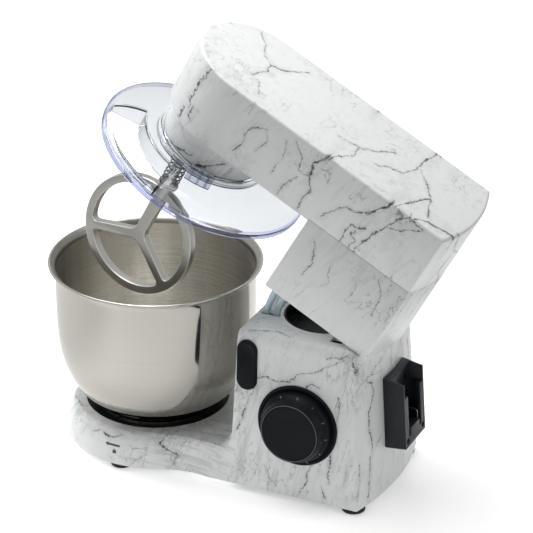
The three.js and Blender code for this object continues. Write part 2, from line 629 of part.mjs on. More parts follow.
piece(dial, 'dial_ring', disc(KNOB_FACE - 0.4 - CLEAR, grooveLow + CLEAR, KNOB_HEIGHT + 0.3,
  capRadius), zinc);
piece(dial, 'dial_cap', revolve([[0, grooveLow + CLEAR], [capRadius - CLEAR, grooveLow + CLEAR],
  [capRadius - CLEAR, KNOB_HEIGHT - 0.6], [capRadius - 1, KNOB_HEIGHT - 0.1],
  [0, KNOB_HEIGHT - 0.1]]), blackPlastic);
const switchBack = -WALL - SWITCH_DEPTH;
const SWITCH_RADIUS = 11;
piece(dial, 'speed_switch', cut(disc(SWITCH_RADIUS, switchBack, -WALL - CLEAR, 0, SMALL),
  disc(SPINDLE_RADIUS + CLEAR, switchBack + 2, 0, 0, SMALL)), slatePlastic);
const boardBack = switchBack - CLEAR;
const BOARD_THICK = 1.6;
piece(dial, 'control_board', block(-40, 34, -26, 30, boardBack - BOARD_THICK, boardBack), board);

// ---------------------------------------------------------------- battery dock
const dockLean = 5 / (DOCK_TOP - DOCK_BOTTOM);
const dockRear = (z) => DOCK_FRONT + DOCK_DEPTH + dockLean * (DOCK_TOP - 4 - z);
const dockTopRear = DOCK_TOP - 4.1;
const dockLowRear = DOCK_BOTTOM + 2.2;
const dockOutline = outline([[DOCK_FRONT - 20, DOCK_BOTTOM], [DOCK_FRONT + 5.5, DOCK_BOTTOM],
  [dockRear(dockLowRear), dockLowRear], [dockRear(dockTopRear), dockTopRear],
  [DOCK_FRONT, DOCK_TOP], [DOCK_FRONT - 20, DOCK_TOP + 0.4]]);
const slotHalf = DOCK_HALF - DOCK_WALL;
const backX = DOCK_FRONT + DOCK_WALL + 4;
const lipThick = 4.5;
const blockTop = DOCK_BOTTOM + 20;
const railTop = DOCK_TOP - 20;
const sleeve = (from, to, half, low, high) => sidePrism(outline([
  [from(low), low], [to(low), low], [to(high), high], [from(high), high]]), -half, half);
const back = () => backX;
const beyond = () => DOCK_FRONT + 3 * DOCK_DEPTH;
const lipFace = (z) => dockRear(z) - lipThick;
const SCREW_Y = slotHalf - 2.6;
const screwSpots = [
  ['dock_screw_1', -SCREW_Y, DOCK_BOTTOM + 9], ['dock_screw_2', SCREW_Y, DOCK_BOTTOM + 9],
  ['dock_screw_3', 2.4 - SCREW_Y, railTop - 9], ['dock_screw_4', SCREW_Y - 2.4, railTop - 9]];
const screwSeat = (z) => (z < railTop - 20 ? dockRear(z) - 12 : backX - 2.8);
const TERMINAL_Y = 12.3;
const TERMINAL_THICK = 0.8;
const terminalLow = blockTop - 8;
const terminalSlots = bothSides.map((s) => {
  const from = s * (TERMINAL_Y - TERMINAL_THICK / 2 - CLEAR);
  const to = s * (slotHalf - RAIL_REACH + 0.1);
  return block(backX + 3, beyond(), min(from, to), max(from, to), terminalLow, blockTop + 1);
});
const dockBody = cut(sidePrism(dockOutline, -DOCK_HALF, DOCK_HALF),
  baseOuter.translate([CLEAR + 0.05, 0, 0]),
  sleeve(back, lipFace, slotHalf, blockTop, DOCK_TOP + 10),
  sleeve(back, beyond, slotHalf - RAIL_REACH, blockTop, DOCK_TOP + 10),
  sleeve(back, beyond, slotHalf + 1.2, railTop, DOCK_TOP + 10),
  ...terminalSlots,
  block(backX - 3, backX + 1, 9, 19, DOCK_TOP - 17.5, DOCK_TOP - 8),
  ...screwSpots.map(([, y, z]) => solid(new THREE.CylinderGeometry(3.4, 3.4, 13, 12)
    .rotateZ(PI / 2).translate(screwSeat(z) + 6.5, y, z))));
piece(base, 'battery_dock', dockBody, slatePlastic);
for (const [name, s] of [['dock_terminal_left', -1], ['dock_terminal_right', 1]]) {
  const blade = new THREE.Shape();
  const tip = dockRear(blockTop) - 2.4;
  blade.moveTo(backX + 3 + CLEAR, terminalLow + CLEAR);
  blade.lineTo(tip, terminalLow + CLEAR);
  blade.lineTo(tip, blockTop + 6);
  blade.absarc(tip - 4, blockTop + 6, 4, 0, PI / 2, false);
  blade.lineTo(backX + 3 + CLEAR, blockTop + 10);
  const y = s * TERMINAL_Y;
  piece(base, name, sidePrism(blade, y - TERMINAL_THICK / 2, y + TERMINAL_THICK / 2), brass);
}
for (const [name, y, z] of screwSpots) {
  const seat = screwSeat(z) + CLEAR;
  piece(base, name, cut(solid(new THREE.CylinderGeometry(2.9, 2.9, 2.2, 12).rotateZ(PI / 2)
    .translate(seat + 1.1, y, z)), block(seat + 1.2, seat + 3, y - 2, y + 2, z - 0.5, z + 0.5),
  block(seat + 1.2, seat + 3, y - 0.5, y + 0.5, z - 2, z + 2)), steel);
}

// ---------------------------------------------------------------- head shells
/** Plan of the head: round front about the bowl axis, curved rear, optional inset. */
function headPlan(inset = 0, arc = 24, frontX = null) {
  const half = HEAD_HALF - inset;
  const rear = rearArc(HEAD_REAR - inset, half, REAR_BULGE, 4);
  const front = frontX === null
    ? Array.from({ length: arc + 1 }, (_, i) => polar(half, lerp(-90, -180, i / arc)))
    : Array.from({ length: arc + 1 }, (_, i) => P2(frontX, -half * (1 - i / arc)));
  front.at(-1).y = 0;
  return mirrored([...rear, ...front]);
}
const coverRound = 3.2;
const coverSections = [[HEAD_SEAM + CLEAR, 0], [HEAD_TOP - coverRound, 0],
  [HEAD_TOP - 0.62 * coverRound, 0.12 * coverRound], [HEAD_TOP - 0.2 * coverRound, 0.5 * coverRound],
  [HEAD_TOP, coverRound]].map(([z, inset]) => ({ z, points: headPlan(inset, 13) }));
const coverHollow = prism(new THREE.Shape(headPlan(HEAD_WALL, 9)), HEAD_SEAM - 5,
  HEAD_TOP - HEAD_WALL);
piece(head, 'head_cover', cut(loft(coverSections), coverHollow), marble);

const floorLow = HEAD_SEAM - FLOOR_THICK;
const blockFront = (z) => BLOCK_FRONT - BLOCK_LEAN * (HEAD_SEAM - z);
const blockSections = [[HEAD_BOTTOM, 1.4], [HEAD_BOTTOM + 1.4, 0], [floorLow - 6, 0], [floorLow, 0],
  [HEAD_SEAM, 0]].map(([z, inset], i) => ({
  z, points: headPlan(inset, 2, blockFront(z) + inset - (i > 2 ? 2.5 : 0)),
}));
const headHollowLow = HEAD_BOTTOM + HEAD_WALL;
const blockHollow = loft([headHollowLow, HEAD_SEAM + 5].map((z) =>
  ({ z, points: headPlan(HEAD_WALL, 2, blockFront(z) + HEAD_WALL) })));
const SHAFT_PORT = 16;
const headSlots = bothSides.map((s) => block(quadrantAt(stripOuter, headHollowLow) - 2 * RUN,
  quadrantAt(stripInner, HEAD_BOTTOM) + 3 * RUN, s * QUADRANT_Y - QUADRANT_THICK / 2 - RUN,
  s * QUADRANT_Y + QUADRANT_THICK / 2 + RUN, HEAD_BOTTOM - 1, headHollowLow + 1));
const earTop = HEAD_BOTTOM + HEAD_WALL + CLEAR;
const earLeanTop = tan(rad(EAR_LEAN)) * (earTop - HINGE_Z);
const earPorts = bothSides.map((s) => {
  const from = s * (EAR_INNER - RUN);
  const to = s * (EAR_INNER + EAR_THICK + RUN);
  const reach = EAR_RADIUS / cos(rad(EAR_LEAN)) + RUN;
  return block(HINGE_X - earLeanTop - reach, HINGE_X - earLeanTop + reach + 2, min(from, to),
    max(from, to), HEAD_BOTTOM - 1, headHollowLow + 1);
});
piece(head, 'head_housing', cut(join(
  prism(new THREE.Shape(headPlan(LIP_INSET, 13)), floorLow, HEAD_SEAM), loft(blockSections)),
blockHollow, disc(SHAFT_PORT, floorLow - 1, HEAD_SEAM + 1), ...headSlots, ...earPorts), marble);

// gearbox boss, ring gear, chassis and bearings
const bossTop = floorLow - CLEAR;
piece(head, 'gearbox_boss', revolve([[BOSS_RADIUS - BOSS_WALL, BOSS_BOTTOM],
  [BOSS_RADIUS - 0.8, BOSS_BOTTOM], [BOSS_RADIUS, BOSS_BOTTOM + 0.8], [BOSS_RADIUS, bossTop],
  [SHAFT_PORT, bossTop], [SHAFT_PORT, bossTop - HEAD_WALL],
  [BOSS_RADIUS - BOSS_WALL, bossTop - HEAD_WALL]], LARGE), marble);

/** Involute flank point of a gear at a radius: its half thickness angle there. */
function halfAngle(radius, pitch, teeth, thin) {
  const basis = pitch * cos(rad(20));
  const inv = (a) => tan(a) - a;
  const at = (r) => (r > basis ? inv(Math.acos(basis / r)) : 0);
  return PI / (2 * teeth) - thin / (2 * pitch) + at(pitch) - at(radius);
}
/** Gear outline between a root and a tip radius, with a number of steps along each flank. */
function gearOutline(pitch, teeth, root, tip, thin, turn, flankSteps) {
  const points = [];
  const radii = steps(root, tip, flankSteps);
  for (let i = 0; i < teeth; i++) {
    const mid = 2 * PI * i / teeth + turn;
    const flank = radii.map((r) => [r, halfAngle(r, pitch, teeth, thin)]);
    const side = (sign, [r, half]) => P2(r * cos(mid + sign * half), r * sin(mid + sign * half));
    points.push(...flank.map((at) => side(-1, at)), ...flank.reverse().map((at) => side(1, at)));
  }
  return new THREE.Shape(points);
}
const ringOuter = BOSS_RADIUS - BOSS_WALL - CLEAR;
const GEAR_MODULE = (ringOuter - RING_RIM) / (RING_TEETH / 2 + 1.15);
const ORBIT = GEAR_MODULE * (RING_TEETH - PLANET_TEETH) / 2;
const planetPitch = GEAR_MODULE * PLANET_TEETH / 2;
const ringPitch = GEAR_MODULE * RING_TEETH / 2;
const ADDENDUM = 0.85 * GEAR_MODULE;
const DEDENDUM = 1.15 * GEAR_MODULE;
const planetTurn = rad(ORBIT_ANGLE);
const ringSpace = gearOutline(ringPitch, RING_TEETH, ringPitch - ADDENDUM, ringPitch + DEDENDUM,
  -BACKLASH, planetTurn, 1);
const gearHigh = GEAR_LOW + GEAR_WIDTH;
piece(head, 'ring_gear', cut(disc(ringOuter, GEAR_LOW, gearHigh, 0, LARGE),
  prism(ringSpace, GEAR_LOW - 1, gearHigh + 1)), nylon);

const YOKE_THICK = 5;
const yokeHigh = earTop + YOKE_THICK;
const chassisLow = HEAD_SEAM + CLEAR;
const chassisHigh = chassisLow + CHASSIS_THICK;
const BEARING_RADIUS = 13;
const BEARING_HEIGHT = 9;
const towerHigh = chassisHigh + 24;
const chassisPlan = new THREE.Shape();
chassisPlan.absarc(0, 0, 46, PI / 2, 3 * PI / 2, false);
chassisPlan.lineTo(HEAD_REAR - 8, -46);
chassisPlan.lineTo(HEAD_REAR - 8, 46);
const ribs = bothSides.map((s) => block(16, MOTOR_X - 20, s * 34 - 2, s * 34 + 2, chassisLow + 1,
  chassisHigh + 9));
piece(head, 'chassis', cut(join(prism(chassisPlan, chassisLow, chassisHigh, 7),
  revolve([[0, chassisLow], [20, chassisLow], [20, chassisHigh + 6], [17, towerHigh],
    [0, towerHigh]], 20), ...ribs),
disc(BEARING_RADIUS, chassisLow - 1, chassisLow + BEARING_HEIGHT + CLEAR),
disc(BEARING_RADIUS, towerHigh - BEARING_HEIGHT - CLEAR, towerHigh + 1),
disc(MAIN_SHAFT_RADIUS + 3, chassisLow, towerHigh, 0, SMALL),
disc(ROTOR_RADIUS + 4, chassisLow - 1, chassisHigh + 1, 0, SMALL).translate([MOTOR_X, 0, 0])),
castAluminium);
const bearing = (low) => disc(BEARING_RADIUS - CLEAR, low, low + BEARING_HEIGHT,
  MAIN_SHAFT_RADIUS + CLEAR, 18);
piece(head, 'bearing_lower', bearing(chassisLow), steel);
piece(head, 'bearing_upper', bearing(towerHigh - BEARING_HEIGHT), steel);

// motor under the chassis, its rotor and the belt drive above it
const motorTop = chassisLow - CLEAR;
const motorLow = max(motorTop - MOTOR_LENGTH, yokeHigh + 2);
const rotorLow = motorTop - 18;
piece(head, 'motor', revolve([[0, motorLow], [14, motorLow], [15, motorLow + 3],
  [MOTOR_RADIUS - 2, motorLow + 3], [MOTOR_RADIUS, motorLow + 5], [MOTOR_RADIUS, motorTop - 5],
  [MOTOR_RADIUS - 3, motorTop], [ROTOR_RADIUS + CLEAR, motorTop], [ROTOR_RADIUS + CLEAR, rotorLow],
  [0, rotorLow]], 18).translate([MOTOR_X, 0, 0]), zinc);
const pulleyHigh = PULLEY_LOW + PULLEY_WIDTH;
piece(head, 'motor_shaft', disc(ROTOR_RADIUS, rotorLow + CLEAR, pulleyHigh + 2, 0, SMALL)
  .translate([MOTOR_X, 0, 0]), steel);
/** Flanged belt pulley about Z. */
const pulley = (radius, bore, hubLow, segments) => revolve([[bore, hubLow], [bore + 5, hubLow],
  [bore + 5, PULLEY_LOW], [radius + 2.6, PULLEY_LOW], [radius + 2.6, PULLEY_LOW + 1],
  [radius, PULLEY_LOW + 1.6], [radius, pulleyHigh - 1.6], [radius + 2.6, pulleyHigh - 1],
  [radius + 2.6, pulleyHigh], [bore, pulleyHigh]], segments);
const webHoles = Array.from({ length: 5 }, (_, i) => polar(PULLEY_LARGE * 0.58, 72 * i))
  .map((p) => disc(8.5, PULLEY_LOW - 1, pulleyHigh + 1, 0, 8).translate([p.x, p.y, 0]));
piece(head, 'motor_pulley', pulley(PULLEY_SMALL, ROTOR_RADIUS + CLEAR, PULLEY_LOW - 4, SMALL)
  .translate([MOTOR_X, 0, 0]), castAluminium);
piece(head, 'main_pulley', cut(pulley(PULLEY_LARGE, MAIN_SHAFT_RADIUS + CLEAR, towerHigh + 2, 22),
  ...webHoles), castAluminium);

/** Path round both pulleys at an offset from their working radius. */
function beltLoop(offset) {
  const big = PULLEY_LARGE + offset;
  const small = PULLEY_SMALL + offset;
  const lean = Math.acos((big - small) / MOTOR_X);
  const path = new THREE.Path();
  path.absarc(0, 0, big, lean, 2 * PI - lean, false);
  path.absarc(MOTOR_X, 0, small, -lean, lean, false);
  return path.getPoints(7).slice(0, -1);
}
const beltShape = new THREE.Shape(beltLoop(2 * CLEAR + BELT_THICK));
const beltBody = cut(prism(beltShape, PULLEY_LOW + 2.2, pulleyHigh - 2.2),
  prism(new THREE.Shape(beltLoop(2 * CLEAR)), PULLEY_LOW, pulleyHigh));
piece(head, 'drive_belt', beltBody, rubber);

// main shaft, planet carrier, planet gear and mixing shaft
const carrierLow = BOSS_BOTTOM + 1;
const carrierHigh = carrierLow + 8;
const planetAt = polar(ORBIT, ORBIT_ANGLE);
const toPlanet = (body) => body.translate([planetAt.x, planetAt.y, 0]);
piece(head, 'main_shaft', disc(MAIN_SHAFT_RADIUS, carrierLow + 4, pulleyHigh + 3, 0, 16), steel);
const planetBore = SHAFT_RADIUS + CLEAR;
const carrierHub = GEAR_LOW - 1;
piece(head, 'planet_carrier', cut(join(
  revolve([[0, carrierLow], [BOSS_RADIUS - BOSS_WALL - 2.5, carrierLow],
    [BOSS_RADIUS - BOSS_WALL - 1.2, carrierLow + 1.5], [BOSS_RADIUS - BOSS_WALL - 1.2, carrierHigh],
    [0, carrierHigh]]),
  disc(12, carrierLow + 1, gearHigh, 0, 20),
  toPlanet(disc(10, carrierLow + 1, carrierHub, 0, 20))),
disc(MAIN_SHAFT_RADIUS + CLEAR, carrierLow + 4 - CLEAR, gearHigh + 1, 0, 16),
toPlanet(disc(planetBore, carrierLow - 1, carrierHub + 1, 0, 16))), slatePlastic);
const planetOutline = gearOutline(planetPitch, PLANET_TEETH, planetPitch - DEDENDUM,
  planetPitch + ADDENDUM, BACKLASH / 2, planetTurn, 2);
piece(head, 'planet_gear', toPlanet(cut(prism(planetOutline, GEAR_LOW, gearHigh),
  disc(planetBore, GEAR_LOW - 1, gearHigh + 1, 0, 16))), nylon);
const HUB_LOW = BEATER_CENTRE + BEATER_RADIUS - 15.5;
const shaftLow = HUB_LOW + 5;
const PIN_Z = HUB_LOW + 9;
const CROSS_PIN = 1.5;
const pinLength = 2 * HUB_RADIUS + 3.4;
const pinAlongBlade = (grow, length = pinLength) => new THREE.CylinderGeometry(CROSS_PIN + grow,
  CROSS_PIN + grow, length, SMALL).rotateZ(PI / 2 + rad(BLADE_ANGLE)).translate(0, 0, PIN_Z);
piece(head, 'mixing_shaft', toPlanet(cut(revolve([[0, shaftLow], [SHAFT_RADIUS - 1, shaftLow],
  [SHAFT_RADIUS, shaftLow + 1], [SHAFT_RADIUS, gearHigh + 2], [0, gearHigh + 2]], 16),
solid(pinAlongBlade(CLEAR, 30)))), steel);
piece(head, 'cross_pin', toPlanet(solid(pinAlongBlade(0))), steel);
const washerLow = HUB_TOP + CLEAR;
const washerHigh = washerLow + 1.6;
piece(head, 'spring_washer', toPlanet(disc(11, washerLow, washerHigh, planetBore, SMALL)), steel);
const springHigh = carrierLow - CLEAR;
piece(head, 'beater_spring', toPlanet(solid(coil(9.6, 1.2, washerHigh + CLEAR,
  springHigh, 5, 3, 8))), steel);

// ---------------------------------------------------------------- flat beater
/** Window between two of the beater's three bars, with rounded corners. */
function beaterWindow(from, to, fromWidth, toWidth) {
  const r = BEATER_RADIUS - BEATER_BAND;
  const start = from + THREE.MathUtils.radToDeg(Math.asin(fromWidth / 2 / r));
  const end = to - THREE.MathUtils.radToDeg(Math.asin(toWidth / 2 / r));
  const corner = THREE.MathUtils.radToDeg(5 / r);
  const arc = steps(start + corner, end - corner, 5).map((deg) => polar(r, deg));
  const beside = (deg, offset, distance) =>
    polar(distance, deg).addScaledVector(polar(1, deg + 90), offset);
  const inner = (fromWidth + toWidth) / 4 / sin(rad((to - from) / 2));
  return [...arc, beside(to, -toWidth / 2, r - 4.5), beside(to, -toWidth / 2, inner + 6),
    polar(inner + 2.5, (from + to) / 2), beside(from, fromWidth / 2, inner + 6),
    beside(from, fromWidth / 2, r - 4.5)];
}
const STEM_WIDTH = 13.5;
const LEG_WIDTH = 9;
const EDGE_IN = 1.5;           // rounded edges of the beater's section
const EDGE_DEEP = 2.5;
const beaterShape = new THREE.Shape();
beaterShape.absarc(0, 0, BEATER_RADIUS - EDGE_IN, 0, 2 * PI, false);
for (const [from, to, w0, w1] of [[90, 210, STEM_WIDTH, LEG_WIDTH],
  [210, 330, LEG_WIDTH, LEG_WIDTH], [-30, 90, LEG_WIDTH, STEM_WIDTH]]) {
  const window = beaterWindow(from, to, w0 - 2 * EDGE_IN, w1 - 2 * EDGE_IN);
  beaterShape.holes.push(new THREE.Path(window.reverse()));
}
const bladeDepth = BEATER_THICK - 2 * EDGE_DEEP;
const blade = new THREE.ExtrudeGeometry(beaterShape, { depth: bladeDepth, curveSegments: 14,
  bevelEnabled: true, bevelThickness: EDGE_DEEP, bevelSize: EDGE_IN, bevelSegments: 1 })
  .translate(0, 0, -bladeDepth / 2).rotateX(PI / 2).rotateZ(rad(BLADE_ANGLE))
  .translate(0, 0, BEATER_CENTRE);
const hub = revolve([[0, HUB_LOW], [HUB_RADIUS - 1.5, HUB_LOW], [HUB_RADIUS, HUB_LOW + 2],
  [HUB_RADIUS, HUB_TOP - 0.8], [HUB_RADIUS - 0.8, HUB_TOP], [0, HUB_TOP]], 18);
const PUSH_GAP = 4.5;          // room to push the beater up off its pin
const pinSlot = new THREE.BoxGeometry(2 * HUB_RADIUS + 20, 2 * (CROSS_PIN + CLEAR),
  2 * (CROSS_PIN + CLEAR) + PUSH_GAP).rotateZ(rad(BLADE_ANGLE)).translate(0, 0, PIN_Z - PUSH_GAP / 2);
piece(head, 'beater', toPlanet(cut(join(solid(blade), hub),
  disc(SHAFT_RADIUS + CLEAR, shaftLow - PUSH_GAP - 1, HUB_TOP + 1, 0, 16), solid(pinSlot))),
castAluminium);

// ---------------------------------------------------------------- splash guard
const collarIn = BOSS_RADIUS + RUN;
const collarTop = BOSS_BOTTOM + 7.5;
const guardTop = collarTop - 3;
// upper face of the guard from its rim to the collar: inset from the rim and share of its rise
const GUARD_CURVE = [[0, 0.23], [3, 0.33], [10, 0.54], [20, 0.75], [34, 0.917]];
const dome = (grow) => [...GUARD_CURVE.map(([inset, share]) =>
  [GUARD_RADIUS - inset, lerp(GUARD_LOW, guardTop, share) + grow]), [collarIn + 5, guardTop + grow]];
const seatHigh = BOSS_BOTTOM - CLEAR;
const seatLow = seatHigh - 1.8;
const guardSkin = revolve([[collarIn + GUARD_THICK, collarTop], [collarIn, collarTop],
  [collarIn, seatHigh], [BOSS_RADIUS - 2, seatHigh], [BOSS_RADIUS - 2, seatLow],
  [collarIn + 3.5, seatLow], [collarIn + 4, guardTop - GUARD_THICK - 0.4],
  ...dome(-GUARD_THICK).slice(1, -1).reverse(),
  [GUARD_RADIUS - GUARD_THICK, GUARD_LOW + 5], [GUARD_RADIUS - GUARD_THICK, GUARD_LOW],
  [GUARD_RADIUS, GUARD_LOW], ...dome(0), [collarIn + GUARD_THICK + 0.6, guardTop + 0.6]], LARGE);
const chuteWall = prism(sector(CHUTE_INNER - GUARD_THICK, CHUTE_OUTER + GUARD_THICK,
  CHUTE_FROM - 1.4, CHUTE_TO + 1.4), CHUTE_LOW, guardTop + 10, 5);
const underDome = revolve([[0, GUARD_LOW - 1], [GUARD_RADIUS, GUARD_LOW - 1], ...dome(0.6),
  [0, guardTop + 0.6]], LARGE);
const chuteVoid = prism(sector(CHUTE_INNER, CHUTE_OUTER, CHUTE_FROM, CHUTE_TO), GUARD_LOW - 10,
  guardTop + 20, 5);
const TAB_SPAN = 13;
const tabs = [-74, 106].map((mid) => prism(sector(collarIn + 2, collarIn + 5, mid - TAB_SPAN,
  mid + TAB_SPAN), BOSS_BOTTOM - 9, BOSS_BOTTOM + 8.5, 3));
const guardBody = join(guardSkin, chuteWall.intersect(underDome), ...tabs);
piece(head, 'splash_guard', cut(guardBody, chuteVoid), clear);

// ---------------------------------------------------------------- hinge yoke and quadrants
const yokePlate = outline([[140, -56], [HEAD_REAR - 8, -56], [HEAD_REAR - 8, 56], [140, 56]]);
const slope = tan(rad(EAR_LEAN));
const ear = (s) => {
  const hull = new THREE.Shape();
  const a0 = rad(EAR_LEAN);
  hull.absarc(HINGE_X, HINGE_Z, EAR_RADIUS, PI + a0, 2 * PI + a0, false);
  const up = earTop + 1 - HINGE_Z;
  const reach = EAR_RADIUS / cos(a0);
  hull.lineTo(HINGE_X + reach - slope * up, HINGE_Z + up);
  hull.lineTo(HINGE_X - reach - slope * up, HINGE_Z + up);
  hull.holes.push(pinBore());
  const from = s * EAR_INNER;
  const to = s * (EAR_INNER + EAR_THICK);
  return sidePrism(hull, min(from, to), max(from, to));
};
const yokeSlots = bothSides.map((s) => block(quadrantAt(stripOuter, yokeHigh) - 10,
  quadrantAt(stripInner, earTop) + 3, s * QUADRANT_Y - QUADRANT_THICK / 2 - RUN,
  s * QUADRANT_Y + QUADRANT_THICK / 2 + RUN, earTop - 1, yokeHigh + 1));
piece(head, 'hinge_yoke', cut(join(prism(yokePlate, earTop, yokeHigh), ...bothSides.map(ear)),
  disc(26, earTop - 1, yokeHigh + 1).translate([MOTOR_X, 0, 0]), ...yokeSlots), zinc);

const slotLow = QUADRANT_LOW + 2.2;
const slotHigh = QUADRANT_HIGH - 5;
const quadrantOutline = sector(stripInner, stripOuter, 180 - QUADRANT_HIGH, 180 - QUADRANT_LOW,
  HINGE_X, HINGE_Z);
quadrantOutline.holes.push(sector(SLOT_RADIUS - SLOT_WIDTH / 2, SLOT_RADIUS + SLOT_WIDTH / 2,
  180 - slotHigh, 180 - slotLow, HINGE_X, HINGE_Z));
for (const [name, s] of [['quadrant_left', -1], ['quadrant_right', 1]]) {
  piece(head, name, sidePrism(quadrantOutline, s * QUADRANT_Y - QUADRANT_THICK / 2,
    s * QUADRANT_Y + QUADRANT_THICK / 2, 6), zinc);
}

// ---------------------------------------------------------------- origin under the middle
assembly.updateMatrixWorld(true);
const extent = new THREE.Box3().setFromObject(assembly, true);
const centre = extent.getCenter(new THREE.Vector3());
assembly.position.set(-centre.x, -centre.y, -extent.min.z);
const mixer = new THREE.Group();
mixer.name = 'stand_mixer';
mixer.add(assembly);
export default mixer;
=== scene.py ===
"""Looks of a cordless tilt-head stand mixer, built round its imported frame.

Sizes are in millimetres in the design frame: the bowl's axis is x = 0, the table is z = 0, the
dial is on the -Y side. Head pieces are drawn level and then turned up about the hinge pin.
"""

import json
import logging
import math
from contextlib import contextmanager
from dataclasses import dataclass
from enum import Enum
from functools import cached_property
from typing import Callable, Iterable, Iterator, Sequence

import bmesh
import bpy
from mathutils import Matrix, Vector


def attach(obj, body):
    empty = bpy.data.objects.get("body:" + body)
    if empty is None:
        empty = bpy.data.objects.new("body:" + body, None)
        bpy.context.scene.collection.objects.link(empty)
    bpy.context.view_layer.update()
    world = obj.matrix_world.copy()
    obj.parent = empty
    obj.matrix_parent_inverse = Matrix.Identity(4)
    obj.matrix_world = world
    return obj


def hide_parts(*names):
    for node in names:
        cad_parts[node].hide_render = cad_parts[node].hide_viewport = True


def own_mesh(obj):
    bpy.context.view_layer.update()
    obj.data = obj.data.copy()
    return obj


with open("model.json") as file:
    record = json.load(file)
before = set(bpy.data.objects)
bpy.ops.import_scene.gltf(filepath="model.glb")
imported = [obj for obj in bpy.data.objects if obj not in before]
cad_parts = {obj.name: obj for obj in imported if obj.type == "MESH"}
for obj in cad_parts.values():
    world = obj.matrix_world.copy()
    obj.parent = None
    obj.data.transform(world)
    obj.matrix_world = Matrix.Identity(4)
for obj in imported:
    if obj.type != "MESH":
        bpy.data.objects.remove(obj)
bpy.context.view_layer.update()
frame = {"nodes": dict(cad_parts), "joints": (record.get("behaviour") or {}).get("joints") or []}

LOG = logging.getLogger("mixer")
MM = 0.001
SIDES = (-1, 1)
Point2 = tuple[float, float]
Color = tuple[float, float, float]
Piece = bpy.types.Object
Socket = bpy.types.NodeSocket
Sockets = dict[str, Socket]


class Space(Enum):
    """Where a piece's design coordinates live."""
    BASE = "base"
    HEAD = "head"
    SIDE = "side"


class Slot(Enum):
    """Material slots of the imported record."""
    MARBLE = "marble_plastic"
    BLACK = "black_plastic"
    SLATE = "slate_plastic"
    RUBBER = "rubber"
    POLISHED = "polished_steel"
    GROUND = "ground_steel"
    CAST = "cast_aluminium"
    ZINC = "zinc_steel"
    BRASS = "terminal_brass"
    CLEAR = "clear_plastic"
    BOARD = "circuit_board"
    NYLON = "nylon"


class Cut(Enum):
    """What a second solid does to a first."""
    AWAY = "DIFFERENCE"
    JOIN = "UNION"
    WITHIN = "INTERSECT"


def joint(name: str) -> dict:
    """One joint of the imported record, by its name."""
    return next(j for j in frame["joints"] if j["name"] == name)


# ------------------------------------------------------------------ placing
@dataclass(frozen=True)
class Layout:
    """Turns design millimetres into row-frame metres."""
    axis_x: float = joint("bowl_twist")["pos_m"][0]
    hinge: tuple[float, float] = (joint("head_tilt")["pos_m"][0], joint("head_tilt")["pos_m"][2])
    tilt: float = math.radians(-joint("head_tilt")["range_deg"][0])
    dial: tuple[float, float, float] = tuple(joint("speed_turn")["pos_m"])
    side_lean: float = math.atan2(joint("speed_turn")["axis"][2], -joint("speed_turn")["axis"][1])

    def matrix(self, space: Space) -> Matrix:
        """The matrix of a space.

        Args:
            space: which design coordinates are meant.

        Returns:
            A matrix from design millimetres to metres in the row frame.
        """
        base = Matrix.Translation((self.axis_x, 0, 0)) @ Matrix.Scale(MM, 4)
        if space is Space.BASE:
            return base
        if space is Space.SIDE:
            lean = Matrix.Rotation(math.pi / 2 - self.side_lean, 4, "X")
            return Matrix.Translation(self.dial) @ lean @ Matrix.Scale(MM, 4)
        pivot = Vector((self.hinge[0], 0, self.hinge[1]))
        return (Matrix.Translation(pivot) @ Matrix.Rotation(self.tilt, 4, "Y")
                @ Matrix.Translation(-pivot) @ base)


LAYOUT = Layout()


def turned(degrees: float, axis: str) -> Matrix:
    """A turn about an axis."""
    return Matrix.Rotation(math.radians(degrees), 4, axis)


# ------------------------------------------------------------------ outlines
def polar(radius: float, degrees: float, cx: float = 0.0, cy: float = 0.0) -> Point2:
    """Point at a radius and an angle about a centre."""
    a = math.radians(degrees)
    return (cx + radius * math.cos(a), cy + radius * math.sin(a))


def lerp(a: float, b: float, t: float) -> float:
    """Value between a and b."""
    return a + (b - a) * t


def spread(a: float, b: float, count: int) -> list[float]:
    """Evenly spaced values from a to b, both included."""
    return [lerp(a, b, i / (count - 1)) for i in range(count)]


def dip(k: float) -> float:
    """How far a quarter round falls, from 0 at its start to 1 at its end."""
    k = min(1.0, max(0.0, k))
    return 1 - math.sqrt(1 - k * k)


def sector(first: float, second: float, start: float, end: float, count: int,
           up: float = 0.0) -> list[Point2]:
    """Outline of a piece of a ring, along one radius and back along the other."""
    return ([polar(first, a, 0.0, up) for a in spread(start, end, count)]
            + [polar(second, a, 0.0, up) for a in spread(end, start, count)])


def bend(start: Vector, corner: Vector, end: Vector, steps: int) -> list[Point2]:
    """Points on the curve that rounds a corner."""
    curve = [start * (1 - t) ** 2 + corner * 2 * t * (1 - t) + end * t * t
             for t in spread(0, 1, steps + 1)]
    return [(q.x, q.y) for q in curve]


def fillet(points: Sequence[Point2], radii: Sequence[float] | float, closed: bool = True,
           steps: int = 5) -> list[Point2]:
    """Rounds the corners of a polyline.

    Args:
        points: the corners.
        radii: one reach for all corners, or one for each; zero leaves a corner sharp.
        closed: whether the last corner joins the first.
        steps: how many pieces a rounded corner is made of.

    Returns:
        The rounded polyline.
    """
    count = len(points)
    reach = [radii] * count if isinstance(radii, (int, float)) else radii
    out: list[Point2] = []
    for i, p in enumerate(points):
        if reach[i] <= 0 or (not closed and i in (0, count - 1)):
            out.append(p)
            continue
        here = Vector(p)
        before = Vector(points[i - 1]) - here
        after = Vector(points[(i + 1) % count]) - here
        cut = min(reach[i], before.length * 0.49, after.length * 0.49)
        out += bend(here + before.normalized() * cut, here, here + after.normalized() * cut,
                    steps)
    return out


